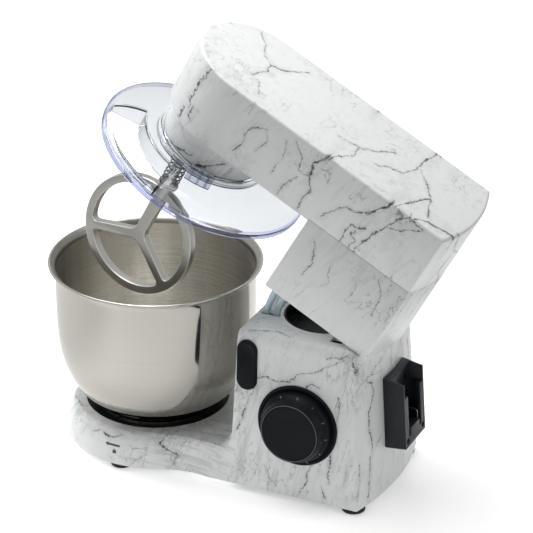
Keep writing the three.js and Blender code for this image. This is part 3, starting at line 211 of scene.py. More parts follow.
def flowing(points: Sequence[Point2], steps: int = 5) -> list[Point2]:
    """A smooth line through points.

    Args:
        points: the places that the line passes.
        steps: how many pieces it has between each two of them.

    Returns:
        Points on the line (Catmull-Rom).
    """
    out: list[Point2] = []
    last = len(points) - 1
    for i in range(last):
        p0, p1, p2, p3 = (Vector(points[min(max(k, 0), last)]) for k in range(i - 1, i + 3))
        for k in range(steps):
            t = k / steps
            q = 0.5 * (2 * p1 + (p2 - p0) * t + (2 * p0 - 5 * p1 + 4 * p2 - p3) * t * t
                       + (3 * p1 - p0 - 3 * p2 + p3) * t ** 3)
            out.append((q.x, q.y))
    return [*out, points[-1]]


def stadium(cx: float, cy: float, width: float, length: float, grow: float = 0.0,
            count: int = 24) -> list[Point2]:
    """Upright slot outline about a point."""
    r, reach = width / 2 + grow, (length - width) / 2
    top = [polar(r, a, cx, cy + reach) for a in spread(0, 180, count)]
    return top + [polar(r, a, cx, cy - reach) for a in spread(180, 360, count)]


def mirrored(half: Sequence[Point2]) -> list[Point2]:
    """A whole outline from its -Y half, which runs from the rear to the front middle."""
    return list(half) + [(x, -y) for x, y in reversed(half[1:-1])]


def rear_arc(corner: float, half: float, bulge: float, count: int) -> list[Point2]:
    """The curved rear from its middle to the -Y corner."""
    return [(corner + bulge * (1 - k * k), -half * k) for k in spread(0, 1, count)]


# ------------------------------------------------------------------ mesh building
def new_object(name: str, data: bpy.types.ID) -> Piece:
    """Links a mesh, curve, lamp or camera into the scene as an object."""
    obj = bpy.data.objects.new(name, data)
    bpy.context.scene.collection.objects.link(obj)
    return obj


def set_all(thing: object, settings: dict) -> object:
    """Sets several properties of a thing, and gives it back."""
    for key, value in settings.items():
        setattr(thing, key, value)
    return thing


@contextmanager
def editing(mesh: bpy.types.Mesh, weld: float = 0.0) -> Iterator[bmesh.types.BMesh]:
    """Opens a mesh for editing and writes it back.

    Args:
        mesh: the mesh.
        weld: how near two points are to become one.

    Yields:
        The open mesh.
    """
    bm = bmesh.new()
    bm.from_mesh(mesh)
    if weld:
        bmesh.ops.remove_doubles(bm, verts=bm.verts, dist=weld)
    yield bm
    bm.to_mesh(mesh)
    bm.free()


def closed_skin(name: str, mesh: bpy.types.Mesh, weld: float) -> Piece:
    """An object of a mesh, welded and with its faces pointing out."""
    with editing(mesh, weld) as bm:
        bmesh.ops.recalc_face_normals(bm, faces=bm.faces)
    return new_object(name, mesh)


def from_faces(name: str, verts: Sequence, faces: Sequence) -> Piece:
    """An object from vertices and faces."""
    mesh = bpy.data.meshes.new(name)
    mesh.from_pydata(verts, [], faces)
    return closed_skin(name, mesh, 1e-4)


def lathe(name: str, profile: Sequence[Point2], segments: int = 96,
          centre: Point2 = (0.0, 0.0)) -> Piece:
    """A turned solid about the vertical line through a point.

    Args:
        name: the object's name.
        profile: (radius, height) pairs that start and end on the axis or close on themselves.
        segments: faces round the axis.
        centre: where the axis stands.

    Returns:
        The turned object.
    """
    on_axis = 1e-6
    verts, rings = [], []
    for r, z in profile:
        count = 1 if r < on_axis else segments
        rings.append(list(range(len(verts), len(verts) + count)))
        for i in range(count):
            a = 2 * math.pi * i / segments
            verts.append((centre[0] + r * math.cos(a), centre[1] + r * math.sin(a), z))
    faces = []
    around = [(rings[-1], rings[0])] if profile[0][0] > on_axis else []
    for low, high in [*zip(rings, rings[1:]), *around]:
        for i in range(segments):
            corners = (low[i % len(low)], low[(i + 1) % segments % len(low)],
                       high[(i + 1) % segments % len(high)], high[i % len(high)])
            corners = tuple(dict.fromkeys(corners))
            if len(corners) > 2:
                faces.append(corners)
    return from_faces(name, verts, faces)


def loft(name: str, sections: Sequence[tuple[float, Sequence[Point2]]]) -> Piece:
    """A closed skin through plan sections.

    Args:
        name: the object's name.
        sections: (height, outline) pairs; the outlines have equal point counts.

    Returns:
        The skinned object.
    """
    count = len(sections[0][1])
    verts = [(x, y, z) for z, outline in sections for x, y in outline]
    faces: list[tuple[int, ...]] = []
    for row in range(0, (len(sections) - 1) * count, count):
        for i in range(count):
            a, b = row + i, row + (i + 1) % count
            faces.append((a, b, b + count, a + count))
    faces.append(tuple(reversed(range(count))))
    faces.append(tuple(range(len(verts) - count, len(verts))))
    return from_faces(name, verts, faces)


def block(name: str, low: Sequence[float], high: Sequence[float]) -> Piece:
    """A cutter between two corners."""
    (x0, y0, z0), (x1, y1, z1) = low, high
    outline = [(x0, y0), (x1, y0), (x1, y1), (x0, y1)]
    return loft(name, [(z0, outline), (z1, outline)])


def cylinder(name: str, radius: float, low: float, high: float, segments: int,
             centre: Point2 = (0.0, 0.0)) -> Piece:
    """An upright round cutter between two heights."""
    return lathe(name, [(0, low), (radius, low), (radius, high), (0, high)], segments, centre)


def evaluated(obj: Piece) -> bpy.types.Mesh:
    """A new mesh of an object with its modifiers applied."""
    graph = bpy.context.evaluated_depsgraph_get()
    graph.update()
    return bpy.data.meshes.new_from_object(obj.evaluated_get(graph))


def new_curve(name: str, kind: str = "CURVE", **settings: object) -> bpy.types.Curve:
    """A curve or text with its settings."""
    return set_all(bpy.data.curves.new(name, kind), settings)


def drawn(curve: bpy.types.Curve) -> bpy.types.Mesh:
    """Makes a mesh of a curve.

    Args:
        curve: the curve or text, which is used up.

    Returns:
        Its mesh.
    """
    holder = new_object(curve.name, curve)
    mesh = evaluated(holder)
    bpy.data.objects.remove(holder)
    bpy.data.curves.remove(curve)
    return mesh


def plate(name: str, outline: Sequence[Point2], depth: float, edge: float = 0.0,
          holes: Iterable[Sequence[Point2]] = (), rounds: int = 3) -> Piece:
    """A flat plate with rounded edges in the X-Y plane, centred on its thickness.

    Args:
        name: the object's name.
        outline: the plate's outline.
        depth: its thickness.
        edge: the radius of its rounded edges.
        holes: outlines of its holes.
        rounds: how finely the edges are rounded.

    Returns:
        The plate.
    """
    curve = new_curve(name, dimensions="2D", fill_mode="BOTH", extrude=depth / 2 - edge,
                      bevel_depth=edge, bevel_resolution=rounds, offset=-edge)
    for ring in [outline, *holes]:
        spline = curve.splines.new("POLY")
        spline.points.add(len(ring) - 1)
        for point, (x, y) in zip(spline.points, ring):
            point.co = (x, y, 0, 1)
        spline.use_cyclic_u = True
    return closed_skin(name, drawn(curve), 1e-3)


def wire(name: str, points: Sequence[Sequence[float]], radius: float, sides: int = 4) -> Piece:
    """A round wire along points, with closed ends.

    Args:
        name: the object's name.
        points: the line that it follows.
        radius: half its thickness.
        sides: how finely it is rounded.

    Returns:
        The wire.
    """
    curve = new_curve(name, dimensions="3D", bevel_depth=radius, bevel_resolution=sides,
                      use_fill_caps=True)
    spline = curve.splines.new("POLY")
    spline.points.add(len(points) - 1)
    for point, co in zip(spline.points, points):
        point.co = (*co, 1)
    return new_object(name, drawn(curve))


def modified(obj: Piece, kind: str, **settings: object) -> Piece:
    """Puts a modifier on an object and applies it.

    Args:
        obj: the object.
        kind: the modifier's type.
        settings: its properties.

    Returns:
        The same object.
    """
    set_all(obj.modifiers.new("shape", kind), settings)
    mesh = evaluated(obj)
    obj.modifiers.clear()
    old, obj.data = obj.data, mesh
    bpy.data.meshes.remove(old)
    return obj


def carve(target: Piece, *cutters: Piece, how: Cut = Cut.AWAY) -> Piece:
    """Cuts other solids out of one, or joins them to it.

    Args:
        target: the solid that stays.
        cutters: the others, which are used up.
        how: what they do to it.

    Returns:
        The same target.
    """
    for cutter in cutters:
        modified(target, "BOOLEAN", operation=how.value, solver="EXACT", object=cutter)
        bpy.data.objects.remove(cutter)
    return target


def moved(obj: Piece, matrix: Matrix) -> Piece:
    """Bakes a matrix into an object's mesh."""
    obj.data.transform(matrix)
    return obj


def from_node(name: str, width: float) -> Piece:
    """A finer copy of a CAD node's solid, in row-frame metres.

    Args:
        name: the node's name.
        width: how far each rounded edge reaches, in millimetres.

    Returns:
        The copy.
    """
    least_angle = math.radians(35.0)
    obj = new_object(name + "_fine", frame["nodes"][name].data.copy())
    moved(obj, Matrix.Scale(1 / MM, 4))
    with editing(obj.data, 2e-3) as bm:
        bmesh.ops.dissolve_limit(bm, angle_limit=math.radians(0.6), verts=bm.verts,
                                 edges=bm.edges)
    modified(obj, "BEVEL", width=width, segments=2, limit_method="ANGLE",
             angle_limit=least_angle)
    return moved(obj, Matrix.Scale(MM, 4))


# ------------------------------------------------------------------ shader building
class Graph:
    """Small helper round a node tree: adds nodes and joins their sockets."""

    def __init__(self, tree: bpy.types.NodeTree) -> None:
        """Keeps the tree that nodes are added to."""
        self.tree = tree

    def fill(self, made: bpy.types.Node, inputs: dict) -> bpy.types.Node:
        """Fills a node's inputs.

        Args:
            made: the node.
            inputs: values or sockets for its inputs, by name or index.

        Returns:
            The same node.
        """
        for key, value in inputs.items():
            if isinstance(value, Socket):
                self.tree.links.new(value, made.inputs[key])
            else:
                made.inputs[key].default_value = value
        return made

    def node(self, kind: str, inputs: dict, **settings: object) -> bpy.types.Node:
        """Adds a node.

        Args:
            kind: the node's type, without its ShaderNode prefix.
            inputs: values or sockets for its inputs, by name or index.
            settings: properties of the node.

        Returns:
            The node.
        """
        return self.fill(set_all(self.tree.nodes.new("ShaderNode" + kind), settings), inputs)

    def use(self, effect: "Effect", **values: object) -> bpy.types.Node:
        """Places a shared effect with its own values."""
        return self.fill(self.node("Group", {}, node_tree=effect.group), values)

    def math(self, operation: str, *values: object, clamp: bool = False) -> Socket:
        """A math node's result."""
        return self.node("Math", dict(enumerate(values)), operation=operation,
                         use_clamp=clamp).outputs[0]

    def mul(self, a: object, b: object) -> Socket:
        """One value times another."""
        return self.math("MULTIPLY", a, b)

    def add(self, a: object, b: object, clamp: bool = False) -> Socket:
        """One value and another."""
        return self.math("ADD", a, b, clamp=clamp)

    def sub(self, a: object, b: object, clamp: bool = False) -> Socket:
        """One value less another."""
        return self.math("SUBTRACT", a, b, clamp=clamp)

    def near(self, distance: Socket, reach: object) -> Socket:
        """How near a distance is: 1 at nothing and 0 from its reach on."""
        return self.sub(1.0, self.math("DIVIDE", distance, reach), clamp=True)

    def most(self, a: object, b: object, clamp: bool = False) -> Socket:
        """The greater of two values."""
        return self.math("MAXIMUM", a, b, clamp=clamp)

    def vector(self, operation: str, a: object, b: object) -> Socket:
        """A vector math node's result: a number for a dot product or a distance."""
        second = "Scale" if operation == "SCALE" else 1
        made = self.node("VectorMath", {0: a, second: b}, operation=operation)
        return made.outputs["Value" if operation in ("DOT_PRODUCT", "DISTANCE") else 0]

    def mix(self, factor: object, a: object, b: object) -> Socket:
        """A colour between two colours."""
        return self.node("Mix", {0: factor, 6: a, 7: b}, data_type="RGBA").outputs[2]

    def ramp(self, value: object, low: object, high: object, to_low: float = 0.0,
             to_high: float = 1.0) -> Socket:
        """A value mapped smoothly from one range to another."""
        return self.node("MapRange", {0: value, 1: low, 2: high, 3: to_low, 4: to_high},
                         interpolation_type="SMOOTHSTEP").outputs[0]

    def noise(self, vector: object, scale: object, detail: float = 4.0, rough: float = 0.55,
              distort: float = 0.0, output: str = "Fac") -> Socket:
        """A noise texture."""
        return self.node("TexNoise", {
            "Vector": vector, "Scale": scale, "Detail": detail, "Roughness": rough,
            "Distortion": distort}).outputs[output]

    def drawn_out(self, given: Sockets) -> Socket:
        """A group's place, turned and drawn out along one way."""
        return self.node("Mapping", {"Vector": given["Vector"], "Rotation": given["Turn"],
                                     "Scale": given["Reach"]}, vector_type="TEXTURE").outputs[0]

    def uneven(self, noise: Socket, given: Sockets) -> Socket:
        """A group's roughness, varied by a noise."""
        return self.add(given["Roughness"], self.mul(self.sub(noise, 0.5), given["Spread"]),
                        clamp=True)

    def split(self, vector: Socket) -> bpy.types.NodeOutputs:
        """The three parts of a vector."""
        return self.node("SeparateXYZ", {0: vector}).outputs


class Effect:
    """A shader node group that several finishes share, built when it is first used."""

    def __init__(self, build: Callable[[Graph, Sockets], Sockets], inputs: dict) -> None:
        """Keeps what the group is made from.

        Args:
            build: adds the group's nodes to a graph, given its inputs, and gives its outputs.
            inputs: the default of each input beside Vector.
        """
        self.build = build
        self.inputs = inputs

    @staticmethod
    def socket(tree: bpy.types.NodeTree, label: str, way: str,
               vector: bool) -> bpy.types.NodeTreeInterfaceSocket:
        """Adds an input or an output to a group."""
        return tree.interface.new_socket(
            label, in_out=way, socket_type="NodeSocketVector" if vector else "NodeSocketFloat")

    @cached_property
    def group(self) -> bpy.types.NodeTree:
        """The node group."""
        tree = bpy.data.node_groups.new(
            self.build.__name__.replace("_", " ").title(), "ShaderNodeTree")
        self.socket(tree, "Vector", "INPUT", True)
        for label, default in self.inputs.items():
            vector = isinstance(default, tuple)
            self.socket(tree, label, "INPUT", vector).default_value = default
        source = tree.nodes.new("NodeGroupInput")
        made = self.build(Graph(tree), {s.name: s for s in source.outputs})
        for label, output in made.items():
            self.socket(tree, label, "OUTPUT", output.type == "VECTOR")
        sink = tree.nodes.new("NodeGroupOutput")
        for label, output in made.items():
            tree.links.new(output, sink.inputs[label])
        return tree


def effect(**inputs: object) -> Callable[[Callable], Effect]:
    """Makes a shared effect of the function that adds its nodes."""
    return lambda build: Effect(build, inputs)


@effect(Start=(0, 0, 0), Width=1.0, Span=(1, 0, 0), Share=(1, 0, 0), Before=1000.0)
def vein_step(g: Graph, given: Sockets) -> Sockets:
    """Distance to one straight step of a vein, or to the steps before it if that is less.

    Args:
        g: the group's graph.
        given: its inputs.

    Returns:
        Its outputs.
    """
    offset = g.vector("SUBTRACT", given["Vector"], given["Start"])
    reach = g.vector("DOT_PRODUCT", offset, given["Share"])
    share = g.math("MINIMUM", g.most(reach, 0.0), 1.0)
    distance = g.vector("DISTANCE", offset, g.vector("SCALE", given["Span"], share))
    return {"Nearest": g.math("MINIMUM", g.math("DIVIDE", distance, given["Width"]),
                              given["Before"])}


@effect(Wander=10.0, Bend=9.0, Tear=4.0)
def ragged(g: Graph, given: Sockets) -> Sockets:
    """Shifts a place about at three scales, so that what is drawn there looks torn.

    Args:
        g: the group's graph.
        given: its inputs.

    Returns:
        Its outputs.
    """
    where = given["Vector"]
    for scale, reach in ((0.022, "Wander"), (0.09, "Bend"), (0.42, "Tear")):
        swirl = g.noise(given["Vector"], scale, 3.0, 0.6, output="Color")
        shift = g.vector("SUBTRACT", swirl, (0.5, 0.5, 0.5))
        where = g.vector("ADD", where, g.vector("SCALE", shift, given[reach]))
    return {"Vector": where}


@effect(Turn=(0, 0, 0), Reach=(90, 40, 40), Patches=0.012, Cover=0.5, Width=0.01)
def hairlines(g: Graph, given: Sockets) -> Sockets:
    """Thin wandering lines that break off and start again, drawn out along one way.

    Args:
        g: the group's graph.
        given: its inputs.

    Returns:
        Its outputs.
    """
    level = g.noise(g.drawn_out(given), 1.0, 6.0, 0.58, 0.4)
    off = g.math("ABSOLUTE", g.sub(level, 0.5))
    gate = g.noise(given["Vector"], given["Patches"], 2.0, 0.5)
    shown = g.ramp(gate, given["Cover"], g.add(given["Cover"], 0.1))
    ink = g.ramp(g.noise(given["Vector"], 0.16, 4.0, 0.7), 0.38, 0.62, 0.35, 1.0)
    soft = g.near(off, g.mul(given["Width"], 6.0))
    return {"Core": g.mul(g.mul(g.near(off, given["Width"]), shown), ink),
            "Halo": g.mul(g.mul(soft, soft), shown)}


@effect(Turn=(0, 0, 0), Reach=(80, 12, 12), Patches=0.011, Low=0.5, High=0.75)
def wisps(g: Graph, given: Sockets) -> Sockets:
    """Smoky strokes drawn out along one way, in patches.

    Args:
        g: the group's graph.
        given: its inputs.

    Returns:
        Its outputs.
    """
    strokes = g.ramp(g.noise(g.drawn_out(given), 1.0, 6.0, 0.66, 0.35), given["Low"],
                     given["High"])
    patch = g.ramp(g.noise(given["Vector"], given["Patches"], 2.0, 0.5), 0.42, 0.62, 0.15, 1.0)
    return {"Amount": g.mul(strokes, patch)}


@effect(Scale=2500.0, Roughness=0.45, Spread=0.12)
def grain(g: Graph, given: Sockets) -> Sockets:
    """Fine moulded grain: a height and a roughness that vary a little.

    Args:
        g: the group's graph.
        given: its inputs.

    Returns:
        Its outputs.
    """
    slow = g.noise(given["Vector"], 35.0, 3.0, 0.5)
    return {"Height": g.noise(given["Vector"], given["Scale"], 3.0, 0.6),
            "Roughness": g.uneven(slow, given), "Slow": slow}


@effect(Stretch=(30, 30, 2500), Roughness=0.3, Spread=0.2)
def brushed(g: Graph, given: Sockets) -> Sockets:
    """Fine lines left by spinning or brushing: noise squeezed along one axis.

    Args:
        g: the group's graph.
        given: its inputs.

    Returns:
        Its outputs.
    """
    squeezed = g.node("Mapping", {"Vector": given["Vector"], "Scale": given["Stretch"]})
    lines = g.noise(squeezed.outputs[0], 1.0, 4.0, 0.65)
    return {"Lines": lines, "Roughness": g.uneven(lines, given)}


@effect(Along=(-0.42, 0.91, 0.0), Flank=0.7, Scale=5.0)
def rays(g: Graph, given: Sockets) -> Sockets:
    """Painted light and dark sectors round an axis, standing in for the bow-tie reflection that
    spun metal shows under a lamp: how much painted shade each gets.

    Args:
        g: the group's graph.
        given: its inputs.

    Returns:
        Its outputs.
    """
    flat = g.vector("MULTIPLY", given["Vector"], (1, 1, 0))
    heading = g.node("VectorMath", {0: flat}, operation="NORMALIZE").outputs[0]
    along = g.math("ABSOLUTE", g.vector("DOT_PRODUCT", heading, given["Along"]))
    # painted shade: full on the flanks, none along the given heading and its opposite
    flank = g.ramp(along, 0.2, 0.85, 1.0, 0.0)
    streak = g.ramp(g.noise(heading, given["Scale"], 3.0, 0.7), 0.35, 0.65, 0.0, 0.25)
    return {"Amount": g.math("MULTIPLY_ADD", flank, given["Flank"], streak, clamp=True)}


def rgba(color: Color, level: float = 1.0, lift: float = 0.0) -> tuple[float, ...]:
    """A colour at a level, with full alpha."""
    return (*(min(1.0, c * level + lift) for c in color), 1.0)


class Paint(Graph):
    """A material's graph, round its Principled shader."""

    def __init__(self, name: str, **sockets: object) -> None:
        """Starts the material.

        Args:
            name: the material's name.
            sockets: constants for the shader's sockets, with underscores for spaces.
        """
        self.material = bpy.data.materials.new(name)
        self.material.use_nodes = True
        super().__init__(self.material.node_tree)
        self.shader = self.tree.nodes["Principled BSDF"]
        self.feed(**sockets)

    @property
    def coords(self) -> Socket:
        """Places on the piece."""
        return self.node("TexCoord", {}).outputs["Object"]

    def feed(self, **sockets: object) -> None:
        """Sets the shader's sockets, or joins others to them."""
        self.fill(self.shader, {key.replace("_", " "): v for key, v in sockets.items()})

    def bump(self, height: Socket, strength: float, distance: float = 0.0002) -> None:
        """Feeds the shader's normal from a height."""
        self.feed(Normal=self.node("Bump", {"Height": height, "Strength": strength,
                                            "Distance": distance}).outputs[0])


class Face(Enum):
    """Which way a face of the machine looks, as how much each axis counts there."""
    SIDE = (1.0, 0.12, 1.0)
    TOP = (1.0, 1.0, 0.12)
    END = (0.12, 1.0, 1.0)


@dataclass(frozen=True)
class Vein:
    """One main vein of the marble print, through a few places on one face."""
    face: Face
    at: float
    width: float
    places: tuple[Point2, ...]

    def points(self) -> list[Vector]:
        """The places in the face's own squeezed space."""
        spot = {Face.SIDE: lambda a, b: (a, self.at, b), Face.TOP: lambda a, b: (a, b, self.at),
                Face.END: lambda a, b: (self.at, a, b)}[self.face]
        return [Vector(spot(a, b)) * Vector(self.face.value) for a, b in self.places]


def veins(face: Face, *rows: tuple) -> list[Vein]:
    """Veins of one face, from rows of depth, width and places."""
    return [Vein(face, at, width, tuple(places)) for at, width, *places in rows]


HEAD_VEINS = (
    *veins(
        Face.SIDE,
        (-65, 1.0, (118, 350), (109, 333), (112, 319), (119, 306)),
        (-65, 0.7, (119, 306), (117, 294), (119, 281)),
        (-65, 0.6, (101, 309), (96, 295), (93, 280)),
        (-65, 0.4, (112, 319), (99, 317), (96, 330), (82, 343)),
        (-65, 0.45, (118, 334), (128, 335), (130, 326)),
        (-65, 1.2, (195, 350), (186, 335), (178, 323)),
        (-65, 0.7, (178, 323), (168, 316), (159, 316), (151, 305), (142, 289)),
        (-65, 0.9, (216, 348), (208, 338), (200, 320), (194, 304), (187, 279)),
        (-65, 0.6, (203, 324), (217, 330), (235, 344), (216, 347)),
        (-65, 0.6, (171, 278), (169, 289), (172, 302), (181, 303), (185, 309)),
        (-65, 0.6, (181, 279), (184, 290), (176, 292), (179, 299)),
        (-65, 0.6, (42, 330), (36, 318), (38, 304), (34, 290)),
        (-65, 0.45, (42, 330), (52, 333), (58, 322), (54, 306)),
        (-65, 0.4, (74, 336), (79, 318), (78, 296)),
        (-65, 0.4, (225, 270), (238, 250), (236, 230)),
        (-65, 0.4, (150, 262), (160, 240), (158, 220)),
        (-50, 0.9, (-34, 240), (-18, 246), (-2, 250)),
        (-52, 1.1, (2, 238), (14, 247), (28, 259)),
        (-46, 0.6, (-30, 268), (-14, 258), (4, 262)),
        (-44, 0.5, (-12, 236), (6, 242), (22, 238))),
    *veins(
        Face.TOP,
        (350, 0.5, (-26, 51), (-13, 38), (-4, 21), (7, 11)),
        (350, 0.7, (7, 11), (18, 14), (29, 27), (40, 41)),
        (350, 0.7, (7, 11), (10, -5), (3, -27)),
        (350, 0.4, (13, -28), (23, -47)),
        (350, 0.7, (109, -23), (132, -15), (145, -5), (159, 15)),
        (350, 0.6, (132, -15), (133, -37), (119, -66)),
        (350, 0.7, (154, -25), (168, -13), (182, -7), (187, 16), (188, 45), (191, 64)),
        (350, 0.7, (191, 17), (205, 2), (218, -15), (230, -47)),
        (350, 0.7, (200, -64), (207, -43), (218, -15)),
        (350, 1.1, (205, -65), (218, -66), (232, -53), (247, -51), (262, -47))),
    *veins(
        Face.END,
        (-31, 0.7, (-58, 350), (-57, 324), (-56, 304), (-58, 296)),
        (-31, 0.6, (-55, 292), (-57, 279)),
        (-22, 0.6, (-60, 302), (-61, 286)),
        (-64, 0.5, (-8, 346), (4, 322), (-2, 300), (12, 284)),
        (266, 0.8, (-40, 350), (-22, 320), (-30, 296), (-8, 270)),
        (266, 0.6, (-22, 320), (8, 305), (34, 318), (50, 300))),
)
BASE_VEINS = (
    *veins(
        Face.SIDE,
        (-73, 0.9, (255, 180), (258, 163), (262, 150)),
        (-72, 0.7, (228, 170), (244, 175), (256, 180)),
        (-74, 0.8, (151, 132), (163, 136), (173, 133), (188, 135)),
        (-74, 0.6, (188, 136), (196, 146), (217, 153), (234, 164), (255, 179)),
        (-74, 0.6, (205, 130), (212, 139), (220, 136)),
        (-76, 0.8, (151, 128), (144, 109), (136, 87), (131, 68)),
        (-79, 1.1, (237, 64), (234, 47), (236, 30)),
        (-79, 0.8, (215, 48), (210, 30), (203, 13)),
        (-80, 0.6, (227, 26), (231, 12)),
        (-75, 0.6, (242, 131), (242, 113), (239, 86)),
        (-80, 0.4, (168, 43), (166, 7)),
        (-92, 0.5, (-60, 8), (-45, 34), (-32, 38)),
        (-92, 0.9, (-35, 33), (-22, 38), (-9, 35), (3, 38)),
        (-92, 0.5, (-10, 45), (-25, 43), (-36, 34)),
        (-80, 0.9, (50, 44), (44, 34), (53, 29), (64, 24), (59, 15), (52, 5)),
        (-72, 0.9, (57, 12), (66, 7), (76, 4)),
        (-93, 0.6, (13, 16), (18, 27), (32, 30)),
        (-93, 0.5, (26, 19), (17, 9))),
    *veins(
        Face.TOP,
        (181, 0.8, (140, -66), (168, -58), (182, -64)),
        (181, 0.7, (135, 40), (150, 20), (146, -20)),
        (44, 0.8, (-88, -20), (-80, -40), (-60, -60)),
        (44, 0.8, (86, 30), (92, 14), (84, 50))),
    *veins(
        Face.END,
        (267, 1.0, (-69, 165), (-63, 150), (-47, 139), (-43, 128), (-52, 109)),
        (269, 0.9, (-52, 109), (-54, 90), (-50, 68), (-56, 46), (-61, 15)),
        (270, 0.6, (-32, 75), (-45, 64), (-50, 55)),
        (265, 0.6, (-62, 146), (-42, 151), (-26, 158), (-12, 168)),
        (265, 0.5, (-76, 132), (-66, 144), (-48, 148), (-22, 143)),
        (265, 0.5, (-73, 57), (-75, 31), (-78, 18)),
        (268, 0.9, (60, 172), (48, 150), (54, 128), (40, 104), (46, 80), (36, 52)),
        (268, 0.6, (46, 80), (22, 70), (4, 52), (-12, 50))),
)


@dataclass(frozen=True)
class Marble:
    """White moulding with a printed marble pattern under a satin lacquer."""
    name: str
    slot: Slot
    space: Space
    veins: tuple[Vein, ...]
    cover: float
    smoke: float
    speck: float
    weight: float = 1.0
    turn: tuple[float, float, float] = (0.0, -1.36, 0.3)
    ground: Color = (0.83, 0.845, 0.84)
    cloud: Color = (0.50, 0.525, 0.53)
    ink: Color = (0.062, 0.07, 0.078)
    roughness: float = 0.3

    def nearest(self, g: Graph, where: Socket, face: Face, near: object) -> object:
        """Distance to the nearest main vein of a face, or what came before if that is less.

        Args:
            g: the material's graph.
            where: the torn place, in design millimetres.
            face: the face whose veins are meant.
            near: a distance to set against it.

        Returns:
            The lesser distance, in vein widths.
        """
        squeezed = g.vector("MULTIPLY", where, face.value)
        for vein in (v for v in self.veins if v.face is face):
            points = vein.points()
            for start, end in zip(points, points[1:]):
                span = end - start
                near = g.use(vein_step, Vector=squeezed, Start=start, Span=span,
                             Share=span / span.length_squared,
                             Width=vein.width * self.weight, Before=near).outputs[0]
        return near

    def smoky(self, g: Graph, place: Socket, torn: Socket) -> Socket:
        """How dark the soft clouds and smudges are.

        Args:
            g: the material's graph.
            place: the place, in design millimetres.
            torn: the same place, shifted about.

        Returns:
            The amount of cloud.
        """
        smoke = g.use(wisps, Vector=place, Turn=self.turn, Reach=(75, 10, 10), Patches=0.013,
                      Low=0.46, High=0.7).outputs[0]
        smudge = g.use(wisps, Vector=torn, Turn=self.turn, Reach=(24, 6, 6), Patches=0.02,
                       Low=0.5, High=0.7).outputs[0]
        lying = g.use(wisps, Vector=place, Turn=(0, 0.1, 0.1), Reach=(70, 9, 5), Patches=0.013,
                      Low=0.44, High=0.68).outputs[0]
        low = g.mul(g.ramp(g.split(torn)[0], 135.0, 110.0), g.ramp(g.split(torn)[2], 60.0, 48.0))
        shade = g.add(g.mul(smoke, g.sub(1.0, low)), g.mul(lying, low))
        return g.most(g.mul(shade, self.smoke), g.mul(smudge, self.speck))

    def material(self) -> bpy.types.Material:
        """Builds the material."""
        g = Paint(self.name, Roughness=self.roughness, IOR=1.48)
        shift, turn, scale = LAYOUT.matrix(self.space).inverted().decompose()
        place = g.node("Mapping", {"Vector": g.coords, "Location": shift,
                                   "Rotation": turn.to_euler(), "Scale": scale}).outputs[0]
        torn = g.use(ragged, Vector=place, Wander=4.0, Bend=8.0, Tear=5.0).outputs[0]
        x, y, z = g.split(torn)
        folded = g.node("CombineXYZ", {
            0: x, 1: g.mul(g.math("ABSOLUTE", y), -1.0), 2: z}).outputs[0]
        near = self.nearest(g, folded, Face.SIDE, 1000.0)
        near = self.nearest(g, torn, Face.TOP, near)
        near = self.nearest(g, torn, Face.END, near)
        swell = g.ramp(g.noise(place, 0.07, 5.0, 0.7), 0.36, 0.66, 0.5, 1.7)
        fade = g.ramp(g.noise(torn, 0.11, 5.0, 0.75), 0.38, 0.6, 0.42, 1.0)
        glow = g.near(near, g.mul(swell, 8.0))
        fine = g.use(hairlines, Vector=place, Turn=self.turn, Reach=(95, 36, 32),
                     Patches=0.014, Cover=self.cover, Width=0.008).outputs
        finer = g.use(hairlines, Vector=torn, Turn=self.turn, Reach=(46, 17, 17),
                      Patches=0.019, Cover=self.cover + 0.05, Width=0.014).outputs
        shade = g.add(self.smoky(g, place, torn), g.mul(g.mul(glow, glow), g.mul(fade, 0.55)))
        shade = g.most(shade, g.mul(fine["Halo"], 0.3), clamp=True)
        dark = g.most(g.mul(g.mul(g.near(near, swell), 1.5), fade), g.mul(fine["Core"], 0.6))
        dark = g.most(dark, g.mul(finer["Core"], 0.5), clamp=True)
        color = g.mix(shade, rgba(self.ground), rgba(self.cloud))
        lacquer = g.use(grain, Vector=g.coords, Scale=1800.0, Roughness=self.roughness,
                        Spread=0.08).outputs
        g.feed(Base_Color=g.mix(dark, color, rgba(self.ink)), Roughness=lacquer["Roughness"])
        g.bump(lacquer["Height"], 0.04)
        return g.material


@dataclass(frozen=True)
class Moulded:
    """Moulded plastic or rubber with a fine grain and a slightly uneven sheen."""
    name: str
    slot: Slot
    color: Color
    roughness: float = 0.4
    spread: float = 0.12
    scale: float = 2200.0
    bump: float = 0.15
    shine: float = 0.5

    def material(self) -> bpy.types.Material:
        """Builds the material."""
        g = Paint(self.name, Roughness=self.roughness, IOR=1.5, Specular_IOR_Level=self.shine)
        skin = g.use(grain, Vector=g.coords, Scale=self.scale, Roughness=self.roughness,
                     Spread=self.spread).outputs
        g.feed(Base_Color=g.mix(skin["Slow"], rgba(self.color, 0.8),
                                rgba(self.color, 1.35, 0.004)), Roughness=skin["Roughness"])
        g.bump(skin["Height"], self.bump)
        return g.material


